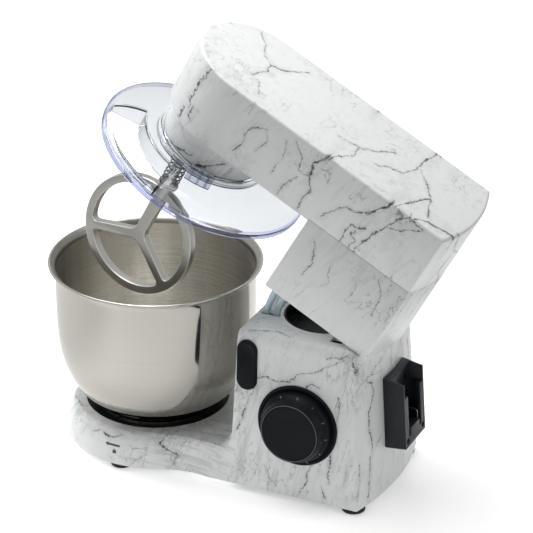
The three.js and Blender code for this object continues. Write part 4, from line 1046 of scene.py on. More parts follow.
@dataclass(frozen=True)
class Metal:
    """Bare metal: polished, brushed, ground, plated or cast."""
    name: str
    slot: Slot
    color: Color
    roughness: float
    spread: float
    stretch: tuple[float, float, float] = (300.0, 300.0, 300.0)
    bump: float = 0.03
    anisotropic: float = 0.0

    def material(self) -> bpy.types.Material:
        """Builds the material; what is anisotropic was spun, and gets a painted bow-tie of
        reflection: painted light along one heading, painted shade at the flanks.
        """
        spun = self.anisotropic > 0
        g = Paint(self.name, Metallic=0.97 if spun else 1.0, Roughness=self.roughness,
                  Anisotropic=self.anisotropic, Anisotropic_Rotation=0.25 if spun else 0.0)
        marks = g.use(brushed, Vector=g.coords, Stretch=self.stretch, Roughness=self.roughness,
                      Spread=self.spread).outputs
        color = g.mix(marks["Lines"], rgba(self.color, 0.92), rgba(self.color, 1.06))
        if spun:
            # painted reflection and shade: the steel's colour falls to half on the flanks of a
            # fixed heading, in place of real reflected light
            dark = g.use(rays, Vector=g.coords, Along=(-0.42, 0.91, 0.0), Flank=0.95, Scale=6.0)
            color = g.mix(dark.outputs[0], color, rgba(self.color, 0.5))
            g.feed(Tangent=g.node("Tangent", {}, direction_type="RADIAL", axis="Z").outputs[0])
        g.feed(Base_Color=color, Roughness=marks["Roughness"])
        g.bump(marks["Lines"], self.bump, 0.0003)
        return g.material


@dataclass(frozen=True)
class ClearPlastic:
    """Clear moulding, a little smoky, whose edges gather a violet tint."""
    name: str
    slot: Slot
    color: Color
    roughness: float

    def material(self) -> bpy.types.Material:
        """Builds the material."""
        g = Paint(self.name, Roughness=self.roughness, IOR=1.47, Transmission_Weight=1.0)
        slow = g.noise(g.coords, 20.0, 2.0, 0.5)
        g.feed(Base_Color=g.mix(slow, rgba(self.color, 0.985), rgba(self.color)))
        return g.material


class Look(Enum):
    """The finishes that the pieces wear."""
    MARBLE_BASE = Marble("marble_base", Slot.MARBLE, Space.BASE, BASE_VEINS, 0.47, 0.85, 0.8)
    MARBLE_HEAD = Marble("marble_head", Slot.MARBLE, Space.HEAD, HEAD_VEINS, 0.50, 0.6, 0.4, 1.3)
    BLACK = Moulded("black_satin", Slot.BLACK, (0.005, 0.0072, 0.0098), 0.36, 0.1, shine=0.11)
    SLATE = Moulded("slate_grain", Slot.SLATE, (0.004, 0.0082, 0.0125), 0.4, 0.15, bump=0.2,
                    shine=0.42)
    RUBBER = Moulded("foot_rubber", Slot.RUBBER, (0.012, 0.012, 0.013), 0.72, 0.15, 1500.0, 0.4)
    BOARD = Moulded("board_green", Slot.BOARD, (0.02, 0.1, 0.05), 0.5)
    NYLON = Moulded("gear_nylon", Slot.NYLON, (0.72, 0.7, 0.62), 0.45)
    PRINT_DIAL = Moulded("print_dial", Slot.BLACK, (0.3, 0.31, 0.33), 0.5, bump=0.02)
    PRINT_GREY = Moulded("print_grey", Slot.BLACK, (0.05, 0.055, 0.06), 0.5, bump=0.02)
    DIAL_RING = Metal("ring_plate", Slot.ZINC, (0.13, 0.17, 0.20), 0.4, 0.1, (150, 150, 150))
    BOWL_OUTSIDE = Metal("steel_mirror", Slot.POLISHED, (0.60, 0.58, 0.53), 0.085, 0.04,
                         (8, 8, 900), 0.006)
    BOWL_INSIDE = Metal("steel_spun", Slot.POLISHED, (0.95, 0.92, 0.85), 0.28, 0.10,
                        (4, 4, 2600), 0.04, 0.85)
    # the rim's inner curl: the same steel painted darker, a painted shade
    BOWL_LIP_PAINTED_SHADE = Metal("steel_lip_painted_shade", Slot.POLISHED, (0.42, 0.405, 0.37), 0.3, 0.1, (4, 4, 2600),
                     0.03, 0.6)
    GROUND = Metal("steel_ground", Slot.GROUND, (0.56, 0.55, 0.54), 0.22, 0.1, (200, 200, 200))
    SPRING = Metal("spring_steel", Slot.GROUND, (0.2, 0.2, 0.2), 0.34, 0.1, (200, 200, 200))
    CAST = Metal("aluminium_satin", Slot.CAST, (0.50, 0.495, 0.465), 0.3, 0.06, bump=0.012)
    # lighter copy of the cast aluminium for the beater's rounded edges, a painted highlight
    CAST_EDGE_HIGHLIGHT = Metal("aluminium_painted_highlight", Slot.CAST, (0.88, 0.87, 0.85), 0.32, 0.06, bump=0.01)
    ZINC = Metal("zinc_plate", Slot.ZINC, (0.50, 0.62, 0.68), 0.34, 0.15, (150, 150, 150), 0.05)
    BRASS = Metal("terminal_metal", Slot.BRASS, (0.80, 0.72, 0.58), 0.3, 0.1)
    CLEAR = ClearPlastic("guard_clear", Slot.CLEAR, (0.79, 0.82, 0.85), 0.02)
    CLEAR_EDGE = ClearPlastic("guard_edge", Slot.CLEAR, (0.36, 0.39, 0.76), 0.05)
    CLEAR_TAB = ClearPlastic("guard_tab", Slot.CLEAR, (0.66, 0.69, 0.78), 0.25)

    @cached_property
    def material(self) -> bpy.types.Material:
        """The finish's material, built once."""
        return self.value.material()


def install(obj: Piece, space: Space | None, body: str, *looks: Look,
            slot: Slot | None = None, sharp: float = 32.0) -> Piece:
    """Puts a finished piece in its place; one named NODE_fine stands for that CAD node.

    Args:
        obj: the piece, in the millimetres of its space, or in metres where space is None.
        space: its design space.
        body: the frame's body that carries it.
        looks: its finishes, in the order of its face indices.
        slot: the record's material slot, where it isn't its first look's; not used.
        sharp: the least angle of an edge that stays crisp, in degrees.

    Returns:
        The same piece.
    """
    if space is not None:
        moved(obj, LAYOUT.matrix(space))
    faces = obj.data.polygons
    picks = [0] * len(faces)
    faces.foreach_get("material_index", picks)
    obj.data.materials.clear()
    for look in looks:
        obj.data.materials.append(look.material)
    faces.foreach_set("material_index", [min(i, len(looks) - 1) for i in picks])
    obj.data.shade_smooth()
    obj.data.set_sharp_from_angle(angle=math.radians(sharp))
    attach(obj, body)
    node = obj.name.removesuffix("_fine")
    if node != obj.name:
        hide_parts(node)
    LOG.info("%s on %s: %d faces", obj.name, body, len(faces))
    return obj


def turning(node: str, profile: Sequence[Point2], segments: int, space: Space, body: str,
            look: Look, centre: Point2 = (0.0, 0.0)) -> None:
    """Makes and installs a plain turned piece.

    Args:
        node: the CAD node that it stands for.
        profile: its outline.
        segments: faces round its axis.
        space: its design space.
        body: the body that carries it.
        look: its finish.
        centre: where its axis stands.
    """
    install(lathe(node + "_fine", profile, segments, centre), space, body, look)


# ------------------------------------------------------------------ base
@dataclass(frozen=True)
class Quadrants:
    """The hinge pin's place, and the room that the quadrants and ears need round it."""
    x: float = 244.3
    z: float = 159.0
    inner: float = 93.0
    outer: float = 110.2
    apart: float = 25.0
    ear_apart: float = 51.0

    def slot(self, side: int, far_z: float, near_z: float, half: float, spare: float) -> Piece:
        """A cutter for one quadrant's slot through a level wall.

        Args:
            side: which quadrant, -1 or 1.
            far_z: the height at which its outer rim passes.
            near_z: the height at which its inner rim passes.
            half: half the slot's width.
            spare: room behind the inner rim.

        Returns:
            The cutter.
        """
        far = self.x - math.sqrt(self.outer ** 2 - (far_z - self.z) ** 2)
        near = self.x - math.sqrt(self.inner ** 2 - (near_z - self.z) ** 2)
        low, high = sorted((far_z, near_z))
        middle = side * self.apart
        return block("cut_quadrant", (far - 1, middle - half, low - 1),
                     (near + spare, middle + half, high + 1))

    def ear(self, side: int, half: float, reach: Point2, low: float, high: float) -> Piece:
        """A cutter for one hinge ear's slot.

        Args:
            side: which ear, -1 or 1.
            half: half the slot's width.
            reach: where it starts and ends along the machine.
            low: its lower end.
            high: its upper end.

        Returns:
            The cutter.
        """
        middle = side * self.ear_apart
        return block("cut_ear", (reach[0], middle - half, low), (reach[1], middle + half, high))


QUADRANTS = Quadrants()


@dataclass
class BaseShell:
    """Round plate, waisted neck and column, moulded in one."""
    foot: float = 6.4
    plate_radius: float = 97.0
    shoulder: float = 12.0
    plate_height: float = 37.3
    half: float = 80.7
    rear: float = 266.4
    front: float = 129.2
    top: float = 181.0
    side_draft: float = 0.0517
    rear_draft: float = 0.0538
    front_draft: float = 0.038
    bulge: float = 11.5
    flare: float = 27.6
    round_height: float = 13.0
    round_in: float = 7.0
    wall: float = 3.5
    edge: float = 3.0
    neck_start: float = -70.0
    neck_pull: float = 42.0
    neck_turn: float = 13.0
    neck_turn_high: float = 17.0
    web: float = 10.0
    web_height: float = 42.0
    seat_radius: float = 76.5
    seat_depth: float = 6.5
    well: tuple[float, float] = (197.0, 45.0)
    lock: Point2 = (140.5, 144.7)
    lock_size: Point2 = (22.0, 55.0)
    relief: tuple[float, float, float, float] = (60.0, 90.0, 22.0, 82.0)
    ear_reach: Point2 = (223.6, 260.3)

    @property
    def plate_top(self) -> float:
        """Height of the plate's top."""
        return self.foot + self.plate_height

    def side(self, z: float) -> float:
        """Half width of the column at a height."""
        return self.half - self.side_draft * (z - self.foot)

    def rear_corner(self, z: float) -> float:
        """Rear corner of the column at a height."""
        return self.rear - self.rear_draft * (z - self.foot)

    def front_face(self, z: float) -> float:
        """Front face of the column at a height."""
        return self.front - self.front_draft * (self.top - z)

    def crease(self, z: float) -> float:
        """Front corner of the column: it sweeps forward towards the table."""
        k = max(0.0, 1 - (z - self.foot) / (1.55 * self.plate_height))
        return self.front_face(z) - self.flare * k ** 1.7

    def plate_edge(self, z: float) -> float:
        """Radius of the round plate at a height."""
        return self.plate_radius - self.shoulder * dip((z - self.foot) / self.plate_height)

    def neck(self, z: float, start: Vector, end: Vector) -> list[Point2]:
        """The waist between column and plate at a height.

        Args:
            z: the height.
            start: the column's front corner.
            end: where the plate's arc starts.

        Returns:
            Points from the corner, without it, to the arc.
        """
        rise = (z - self.foot) / self.plate_height
        touch = math.radians(self.neck_start)
        along = Vector((-math.sin(touch), math.cos(touch)))
        reach = max(0.0, (-end.y - self.side(z)) / along.y)
        handle = end + along * (reach + self.neck_pull * dip(rise) ** 0.6)
        leave = max(math.atan2(handle.y - start.y, start.x - handle.x),
                    math.radians(lerp(self.neck_turn, self.neck_turn_high, rise)))
        first = start + Vector((-math.cos(leave), math.sin(leave))) * (
            (start - handle).length * 0.62)
        second = end + (handle - end) * 0.667
        curve = [start * (1 - t) ** 3 + first * 3 * t * (1 - t) ** 2
                 + second * 3 * t * t * (1 - t) + end * t ** 3 for t in spread(0, 1, 26)[1:]]
        return [(q.x, q.y) for q in curve]

    def foot_section(self, z: float) -> list[Point2]:
        """Plan of plate, neck and column below the plate's top.

        Args:
            z: its height.

        Returns:
            The plan's outline.
        """
        half, radius, corner = self.side(z), self.plate_edge(z), self.crease(z)
        neck = self.neck(z, Vector((corner, -half)), Vector(polar(radius, self.neck_start)))
        around = [polar(radius, a) for a in spread(self.neck_start, -180, 52)[1:-1]]
        return self.section(z, half, corner, [*neck, *around, (-radius, 0.0)])

    def section(self, z: float, half: float, corner: float,
                onward: Sequence[Point2]) -> list[Point2]:
        """A whole plan with rounded rear corners, sides and rounded creases.

        Args:
            z: its height.
            half: half the column's width there.
            corner: where the front corners stand.
            onward: the -Y half's line from the corner to the front middle.

        Returns:
            The plan's outline.
        """
        arc = rear_arc(self.rear_corner(z), half, self.bulge, 14)
        line = [*arc, (corner, -half), *onward]
        reach = [0.0] * len(line)
        reach[len(arc) - 1] = 1.8
        reach[len(arc)] = self.edge
        return mirrored(fillet(line, reach, closed=False, steps=6))

    def column_section(self, z: float) -> list[Point2]:
        """Plan of the column above the plate's top.

        Args:
            z: its height.

        Returns:
            The plan's outline.
        """
        lip, root = 2.0, 9.0
        shoulder = self.top - self.round_height
        inner = self.side(shoulder) - self.round_in
        k = max(0.0, (z - shoulder) / self.round_height)
        half = inner + self.round_in * math.sqrt(max(0.0, 1 - k * k)) if k > 0 else self.side(z)
        above = z - self.plate_top
        corner = self.crease(z) + lip * dip(max(0.0, z - (self.top - lip)) / lip)
        sweep = root * dip(max(0.0, 1 - above / root))
        web = self.web * max(0.0, 1 - above / self.web_height) ** 2.2
        front = []
        for t in spread(0, 1, 77)[1:]:
            inward = min(1.0, t / 0.16)
            ease = inward * inward * (3 - 2 * inward)
            u = half * t / root
            front.append((corner - sweep * ease - web * u * math.exp(1 - u), -half * (1 - t)))
        return self.section(z, half, corner, front)

    def outer(self) -> Piece:
        """The outer skin."""
        foot = (0, .015, .08, .16, .25, .34, .43, .52, .6, .68, .75, .81, .86, .9, .935, .962,
                .982, .994, 1)
        column = (0, .4, 1.2, 2.4, 4, 6, 8.4, 12, 16, 21, 27, 40, 70)
        top = (0, .12, .25, .38, .5, .61, .71, .8, .87, .92, .96, .985, 1)
        low = [self.foot + self.plate_height * k for k in foot]
        high = [self.plate_top + d for d in column]
        high += [self.top - self.round_height * (1 - k) for k in top]
        return loft("base_shell_fine", [(z, self.foot_section(z)) for z in low]
                    + [(z, self.column_section(z)) for z in high])

    def inner_section(self, z: float) -> list[Point2]:
        """Plan of the column's inside.

        Args:
            z: its height.

        Returns:
            The plan's outline.
        """
        half = min(self.side(z) - self.wall, self.side(self.top) - self.round_in
                   - 0.6 * self.wall + max(0.0, self.top - self.wall - z))
        arc = rear_arc(self.rear_corner(z) - self.wall, half, self.bulge, 8)
        x = self.front_face(z) + self.wall
        return mirrored([*arc, (x, -half), (x, 0.0)])

    def hollow(self) -> list[Piece]:
        """Cutters for the inside."""
        low, high = self.foot - 1, self.top - self.wall
        ceiling = self.plate_top - self.seat_depth - self.wall
        radius = self.plate_edge(ceiling) - 1.3 * self.wall
        return [
            loft("cut_column", [(z, self.inner_section(z)) for z in
                                (low, high - self.round_height, high)]),
            cylinder("cut_plate", radius, low, ceiling, 64),
            block("cut_neck", (radius / 2, -60, low),
                  (self.front_face(self.foot) + 2 * self.wall, 60, ceiling))]

    def openings(self) -> list[Piece]:
        """Cutters for the seat, the well, the rear relief, the button, slots and spindle."""
        x, y, low, high = self.relief
        ceiling, above = self.top - self.wall, self.top + 1
        cuts = [
            cylinder("cut_seat", self.seat_radius, self.plate_top - self.seat_depth,
                     self.plate_top + 5, 128),
            cylinder("cut_well", self.well[1], self.top - 7, self.top + 5, 112,
                     (self.well[0], 0)),
            moved(block("cut_relief", (-x, -y, low), (x, y, high)),
                  Matrix.Translation((QUADRANTS.x, 0, QUADRANTS.z))
                  @ Matrix.Rotation(LAYOUT.tilt, 4, "Y")),
            moved(plate("cut_lock", stadium(*self.lock, *self.lock_size, 0.3), 40),
                  Matrix.Translation((0, 10 - self.half, 0)) @ turned(90, "X"))]
        for side in SIDES:
            cuts += [QUADRANTS.slot(side, ceiling, self.top, 2.5, 1),
                     QUADRANTS.ear(side, 5, self.ear_reach, ceiling - 6.5, above)]
        return [*cuts, moved(cylinder("cut_spindle", 4, -20, 20, 32),
                             LAYOUT.matrix(Space.BASE).inverted() @ LAYOUT.matrix(Space.SIDE))]

    def build(self) -> None:
        """Makes the shell and its marks."""
        shell = carve(self.outer(), *self.hollow(), *self.openings())
        install(shell, Space.BASE, "base", Look.MARBLE_BASE, sharp=38)
        self.marks()

    def mark(self, name: str, outline: Sequence[Point2], degrees: float, z: float) -> None:
        """Lays a flat mark on the plate's side.

        Args:
            name: the mark's name.
            outline: its shape about its middle.
            degrees: where it goes round the plate.
            z: the height of its middle.
        """
        lift, step = 0.12, 1.2
        obj = plate(name, outline, 0.04)
        with editing(obj.data) as bm:
            bmesh.ops.triangulate(bm, faces=bm.faces)
            for _ in range(3):
                long = [e for e in bm.edges if e.calc_length() > step]
                bmesh.ops.subdivide_edges(bm, edges=long, cuts=1)
                bmesh.ops.triangulate(bm, faces=bm.faces)
            for v in bm.verts:
                height = z + v.co.y
                radius = self.plate_edge(height)
                x, y = polar(radius + lift + v.co.z, degrees + math.degrees(v.co.x / radius))
                v.co = (x, y, height)
        install(obj, Space.BASE, "base", Look.PRINT_GREY)

    def marks(self) -> None:
        """An arrow with a small padlock that shows which way the bowl locks."""
        self.mark("lock_arrow", [(-9, 0), (-5.2, 2.4), (-5.2, 1.1), (8.5, 1.1), (8.5, -1.1),
                                 (-5.2, -1.1), (-5.2, -2.4)], -93.5, 27.5)
        self.mark("padlock_body", [(-2.1, 0.4), (2.1, 0.4), (2.1, -2.9), (-2.1, -2.9)],
                  -92.0, 21.5)
        self.mark("padlock_shackle", sector(1.5, 0.9, 0, 180, 13, 0.4), -92.0, 21.5)


@dataclass
class BaseFittings:
    """Feet, bottom cover, bowl seat and the round liner in the top of the column."""
    shell: BaseShell
    foot_radius: float = 12.5
    lip: float = 62.7
    twist: float = 28.0
    gate_half: float = 11.0
    liner_radius: float = 44.7
    liner_floor: float = 164.0

    def feet(self) -> dict[str, Point2]:
        """Where the four feet stand."""
        return {f"foot_{end}_{hand}": (x, side * y)
                for end, x, y in (("front", -1.6, 81.8), ("rear", 256.8, 66.2))
                for hand, side in zip(("left", "right"), SIDES)}

    def build(self) -> None:
        """Makes the fittings."""
        r, h = self.foot_radius, self.shell.foot - 0.3
        profile = fillet([(0, 0.5), (r - 3.4, 0.5), (r - 3.0, 0), (r - 0.6, 0), (r, 1.4),
                          (r - 0.5, h), (4, h), (4, 9.5), (0, 9.5)],
                         [0, .3, .3, .8, .8, .5, 0, 0, 0], closed=False, steps=4)
        for node, centre in self.feet().items():
            turning(node, profile, 64, Space.BASE, "base", Look.RUBBER, centre)
        install(from_node("base_cover", 0.4), None, "base", Look.SLATE)
        self.seat()
        self.liner()

    def seat(self) -> None:
        """The black ring that the bowl's foot locks into."""
        lip, top = self.lip, self.shell.plate_top
        low = top - self.shell.seat_depth
        gate = low + 3.9
        ring = lathe("bowl_seat_fine", fillet(
            [(lip + 6, low + .3), (76.2, low + .3), (76.2, top - .2), (74.2, top),
             (lip + 1.2, top - 1.0), (lip, top - 1.4), (lip, gate), (lip + 6, gate)],
            [0, 0, .5, .8, .6, .4, .3, 0], steps=4), 144)
        for turn in (0, 120, 240):
            middle = turn + self.twist
            outline = sector(lip - 2, lip + 5.8, middle - self.gate_half,
                             middle + self.gate_half, 10)
            carve(ring, loft("cut_gate", [(low - 1, outline), (top + 1, outline)]))
        install(ring, Space.BASE, "base", Look.BLACK)

    def liner(self) -> None:
        """The black round cup under the motor end of the head."""
        r, floor, top = self.liner_radius, self.liner_floor, self.shell.top
        profile = fillet([(0, floor), (r - 1, floor), (r, floor + 1), (r, 174.5), (r + 3, 174.5),
                          (r + 3, 177.2), (r, 177.2), (r, top - .2), (r - 1.2, top + .1),
                          (r - 2, top - .5), (r - 2, floor + 2), (r - 8, floor + 2),
                          (r - 8.6, floor + 3.2), (r - 9.4, floor + 2), (0, floor + 2)],
                         [0, .5, .5, 0, 0, 0, 0, .4, .5, .5, 1.5, .4, .4, .4, 0],
                         closed=False, steps=4)
        turning("well_liner", profile, 112, Space.BASE, "base", Look.BLACK,
                (self.shell.well[0], 0.0))


@dataclass
class LockButton:
    """Long button on the column's side that frees the head."""
    shell: BaseShell
    proud: float = 3.0
    thick: float = 7.5
    dish: float = 26.0
    dish_height: float = 24.6

    def build(self) -> None:
        """Makes the button with the round dish at its upper end."""
        x, z = self.shell.lock
        width, length = self.shell.lock_size
        face = self.thick / 2
        body = plate("lock_button_fine", stadium(0, 0, width, length, 0, 40), self.thick, 1.5,
                     rounds=4)
        ball = new_object("cut_dish", bpy.data.meshes.new("dish"))
        with editing(ball.data) as bm:
            bmesh.ops.create_uvsphere(bm, u_segments=64, v_segments=40, radius=self.dish)
        carve(body, moved(ball, Matrix.Translation(
            (0, length / 4 + 2.2, face + self.dish_height))))
        lean = Matrix.Rotation(math.pi / 2 - math.atan(self.shell.side_draft), 4, "X")
        moved(body, Matrix.Translation((x, -self.shell.side(z) - self.proud + face, z)) @ lean)
        install(body, Space.BASE, "lock", Look.BLACK, sharp=25)
        install(from_node("lock_bar", 0.3), None, "lock", Look.GROUND)


@dataclass
class SpeedDial:
    """Bezel, skirted knob, bright ring and cap on the column's side."""
    bezel: float = 44.0
    knob: float = 38.5
    face: float = 31.6
    height: float = 22.0
    labels: str = "P0123456"
    label_size: float = 3.6
    first_label: float = 112.0
    label_step: float = 29.0
    skirt: float = -31.2

    def build(self) -> None:
        """Makes the dial."""
        b, f, h, k = self.bezel, self.face, self.height, self.knob
        bezel = fillet([(4, .3), (b, .3), (b, 1.5), (b - 1.4, 2.4), (k + 2.2, 2.2),
                        (k + 1.4, 1.2), (4, 1.2)], [0, .2, .6, .8, .5, .4, 0])
        knob = fillet([(0, 2), (k, 2), (k - .6, 7), (k - 1.6, 10.4), (k - 3.6, 12.4),
                       (f + 2.6, 13.6), (f + .9, 18.6), (f + .45, h - .7), (f - .1, h),
                       (f - .4, h), (f - .4, h - 1.6), (0, h - 1.6)],
                      [0, .5, 2.5, 1.6, 1.2, 1.0, 1.5, .6, .2, 0, 0, 0], closed=False, steps=6)
        ring = fillet([(f - .7, h - 1.3), (f - .7, h + .15), (f - 1.5, h + .15),
                       (f - 1.5, h - 1.3)], [0, .25, .25, 0])
        cap = fillet([(0, h - 1.3), (f - 2.2, h - 1.3), (f - 2.2, h - .25), (f - 4, h - .05),
                      (f * .5, h - .25), (0, h - .3)], [0, 0, .6, 1, 5, 0], closed=False, steps=6)
        turning("dial_bezel", bezel, 144, Space.SIDE, "base", Look.BLACK)
        turning("dial_knob", knob, 144, Space.SIDE, "speed_dial", Look.BLACK)
        turning("dial_ring", ring, 144, Space.SIDE, "speed_dial", Look.DIAL_RING)
        turning("dial_cap", cap, 128, Space.SIDE, "speed_dial", Look.BLACK)
        for i, label in enumerate(self.labels):
            self.number(i, label)

    def number(self, i: int, label: str) -> None:
        """One plain number on the knob's skirt.

        Args:
            i: which one it is, from the left.
            label: what it says.
        """
        text = new_curve("dial_mark", "FONT", body=label, size=self.label_size, extrude=0.03,
                         align_x="CENTER", align_y="CENTER")
        mark = new_object(f"dial_mark_{i}", drawn(text))
        moved(mark, turned(self.first_label - self.label_step * i - 90, "Z")
              @ Matrix.Translation((0, self.face + 4.9, 12.9)) @ turned(self.skirt, "X"))
        install(mark, Space.SIDE, "speed_dial", Look.PRINT_DIAL)


@dataclass
class MixingBowl:
    """Deep-drawn steel bowl with a rolled rim and a bayonet foot."""
    top: float = 204.5
    radius: float = 105.5
    rim: float = 113.0
    wall: float = 1.3
    foot: float = 61.5
    floor: float = 44.0
    table: float = 38.1
    curl: float = 8.5

    def outside(self) -> list[Point2]:
        """Outer profile from the foot to the rim."""
        b, t, r, rim = self.floor, self.top, self.radius, self.rim
        body = flowing([(self.foot, b + .6), (66.5, b + 3.0), (74, b + 8.2), (82, b + 15.6),
                        (89, b + 25.5), (95, b + 38), (99.8, b + 51), (103.1, b + 66),
                        (104.8, b + 86), (r, b + 115), (r, t - 12)], 6)
        bead = flowing([(r + .1, t - 8.6), (r + 1.0, t - 5.9), (r + 3.6, t - 4.3),
                        (rim - .8, t - 3.2), (rim, t - 1.8), (rim - .5, t - .6), (rim - 1.5, t),
                        (rim - 2.4, t - .5)], 5)
        return body + bead

    def inside(self) -> list[Point2]:
        """Inner profile from the rim to the middle of the floor."""
        b, t, r, w, rim = self.floor, self.top, self.radius, self.wall, self.rim
        return flowing([(rim - 3.4, t - 1.0), (r + 1.8, t - 2.3), (r - .3, t - 4.6),
                        (r - w + .1, t - 8.2), (r - w, t - 13), (r - w, b + 115),
                        (104.8 - w, b + 86.2), (103.1 - w, b + 66.3), (99.8 - w, b + 51.6),
                        (95 - .9 * w, b + 38.8), (89 - .8 * w, b + 26.5),
                        (82 - .7 * w, b + 16.8), (74 - .5 * w, b + 9.8),
                        (65, b + 4.6), (56, b + 2.0), (40, b + 1.4), (20, b + 1.3),
                        (0, b + 1.3)], 6)

    def within(self, face: bpy.types.MeshPolygon) -> bool:
        """Tells the bowl's inside from its outside.

        Args:
            face: one face of the bowl.

        Returns:
            Whether the face belongs to the inside.
        """
        middle, normal = face.center, face.normal
        inward = normal.xy.dot(middle.xy) < 0
        floor = normal.z > .3 and middle.xy.length < self.rim - 8
        return self.floor + 1.0 < middle.z < self.top - .6 and (inward or floor)

    def build(self) -> None:
        """Makes the bowl."""
        foot, floor, low = self.foot, self.floor, self.table
        under = [(0, floor), (foot - 5, floor), (foot - 4, floor - 1), (foot - 4, low + .5),
                 (foot - 3.4, low), (foot - .6, low), (foot, low + .5), (foot, floor - .3)]
        bowl = lathe("bowl_fine", [*under, *self.outside(), *self.inside()], 192)
        for face in bowl.data.polygons:
            # faces inside the curl take the darker steel, a painted shade; the other inside faces
            # take the spun steel
            curled = face.center.z > self.top - self.curl
            face.material_index = (2 if curled else 1) if self.within(face) else 0
        install(bowl, Space.BASE, "mixing_bowl", Look.BOWL_OUTSIDE, Look.BOWL_INSIDE,
                Look.BOWL_LIP_PAINTED_SHADE, sharp=50)
        for i in range(3):
            outline = sector(foot - .6, 67.6, 120 * i - 9, 120 * i + 9, 10)
            lug = moved(plate(f"bowl_lug_{i}", outline, 2.4, .4),
                        Matrix.Translation((0, 0, 39.5)))
            install(lug, Space.BASE, "mixing_bowl", Look.GROUND, slot=Slot.POLISHED)


# ------------------------------------------------------------------ head
@dataclass
class HeadShells:
    """Long round-fronted cover over the beam floor and the deep rear block."""
    half: float = 64.7
    rear: float = 256.4
    bulge: float = 11.5
    top: float = 349.5
    top_edge: float = 3.2
    seam: float = 277.5
    wall: float = 3.0
    low: float = 182.0
    block_front: float = 132.7
    lean: float = 0.024
    inset: float = 1.2
    port: float = 16.0
    ear_reach: Point2 = (223.0, 249.5)
    boss_radius: float = 55.5
    boss_low: float = 235.0

    def plan(self, inset: float = 0.0, front: float | None = None) -> list[Point2]:
        """Plan of the head.

        Args:
            inset: how far it is drawn in.
            front: where its flat front stands; without one it is round.

        Returns:
            The plan's outline.
        """
        half = self.half - inset
        arc = rear_arc(self.rear - inset, half, self.bulge, 14)
        if front is None:
            nose = [*(polar(half, a) for a in spread(-90, -180, 61)[:-1]), (-half, 0.0)]
        else:
            nose = [(front, -half * (1 - t)) for t in spread(0, 1, 6)]
        line = [*arc, *nose]
        reach = [0.0] * len(line)
        reach[len(arc) - 1] = 1.5
        reach[len(arc)] = 0.0 if front is None else 2.0
        return mirrored(fillet(line, reach, closed=False, steps=6))

    def block_face(self, z: float) -> float:
        """Front face of the block at a height."""
        return self.block_front - self.lean * (self.seam - z)

    def build(self) -> None:
        """Makes cover, housing and boss."""
        self.cover()
        self.housing()
        self.boss()

    def cover(self) -> None:
        """The upper shell."""
        r = self.top_edge
        steps = [(self.seam + .3, .5), (self.seam + .55, .15), (self.seam + .9, 0),
                 (self.top - r, 0)]
        for q in map(math.radians, spread(0, 90, 9)[1:]):
            steps.append((self.top - r + r * math.sin(q), r * (1 - math.cos(q))))
        skin = loft("head_cover_fine", [(z, self.plan(i)) for z, i in steps])
        inner = self.plan(self.wall)
        carve(skin, loft("cut_cover", [(self.seam - 5, inner), (self.top - self.wall, inner)]))
        install(skin, Space.HEAD, "head", Look.MARBLE_HEAD, sharp=40)

    def housing(self) -> None:
        """The beam floor with its shadow lip and the deep block at the rear."""
        floor, low, top = self.seam - 2.7, self.low, self.seam
        steps = [(floor, self.inset + .8), (floor + .3, self.inset + .25),
                 (floor + .8, self.inset), (top, self.inset)]
        beam = loft("head_housing_fine", [(z, self.plan(i)) for z, i in steps])
        rows = [(low, 1.6), (low + .3, .9), (low + .8, .35), (low + 1.6, 0), (top - .5, 0),
                (top - .15, .2), (top, .5)]
        deep = loft("deep_block", [(z, self.plan(i, self.block_face(z) + i)) for z, i in rows])
        carve(beam, deep, how=Cut.JOIN)
        ceiling, wall = low + self.wall, self.wall
        cuts = [loft("cut_block", [(z, self.plan(wall, self.block_face(z) + wall)) for z in
                                   (ceiling, top + 5)]),
                cylinder("cut_port", self.port, floor - 1, top + 1, 64)]
        for side in SIDES:
            cuts += [QUADRANTS.slot(side, ceiling, low, 2.0, 1.5),
                     QUADRANTS.ear(side, 4.5, self.ear_reach, low - 1, ceiling + 1)]
        carve(beam, *cuts)
        install(beam, Space.HEAD, "head", Look.MARBLE_HEAD, sharp=40)

    def boss(self) -> None:
        """The gearbox boss under the front of the head."""
        r, low, top = self.boss_radius, self.boss_low, self.seam - 3
        profile = fillet([(r - 2.5, low), (r, low), (r, top), (self.port, top),
                          (self.port, top - 3), (r - 2.5, top - 3)], [.4, 1.2, 0, 0, 0, 0],
                         steps=5)
        turning("gearbox_boss", profile, 128, Space.HEAD, "head", Look.MARBLE_HEAD)


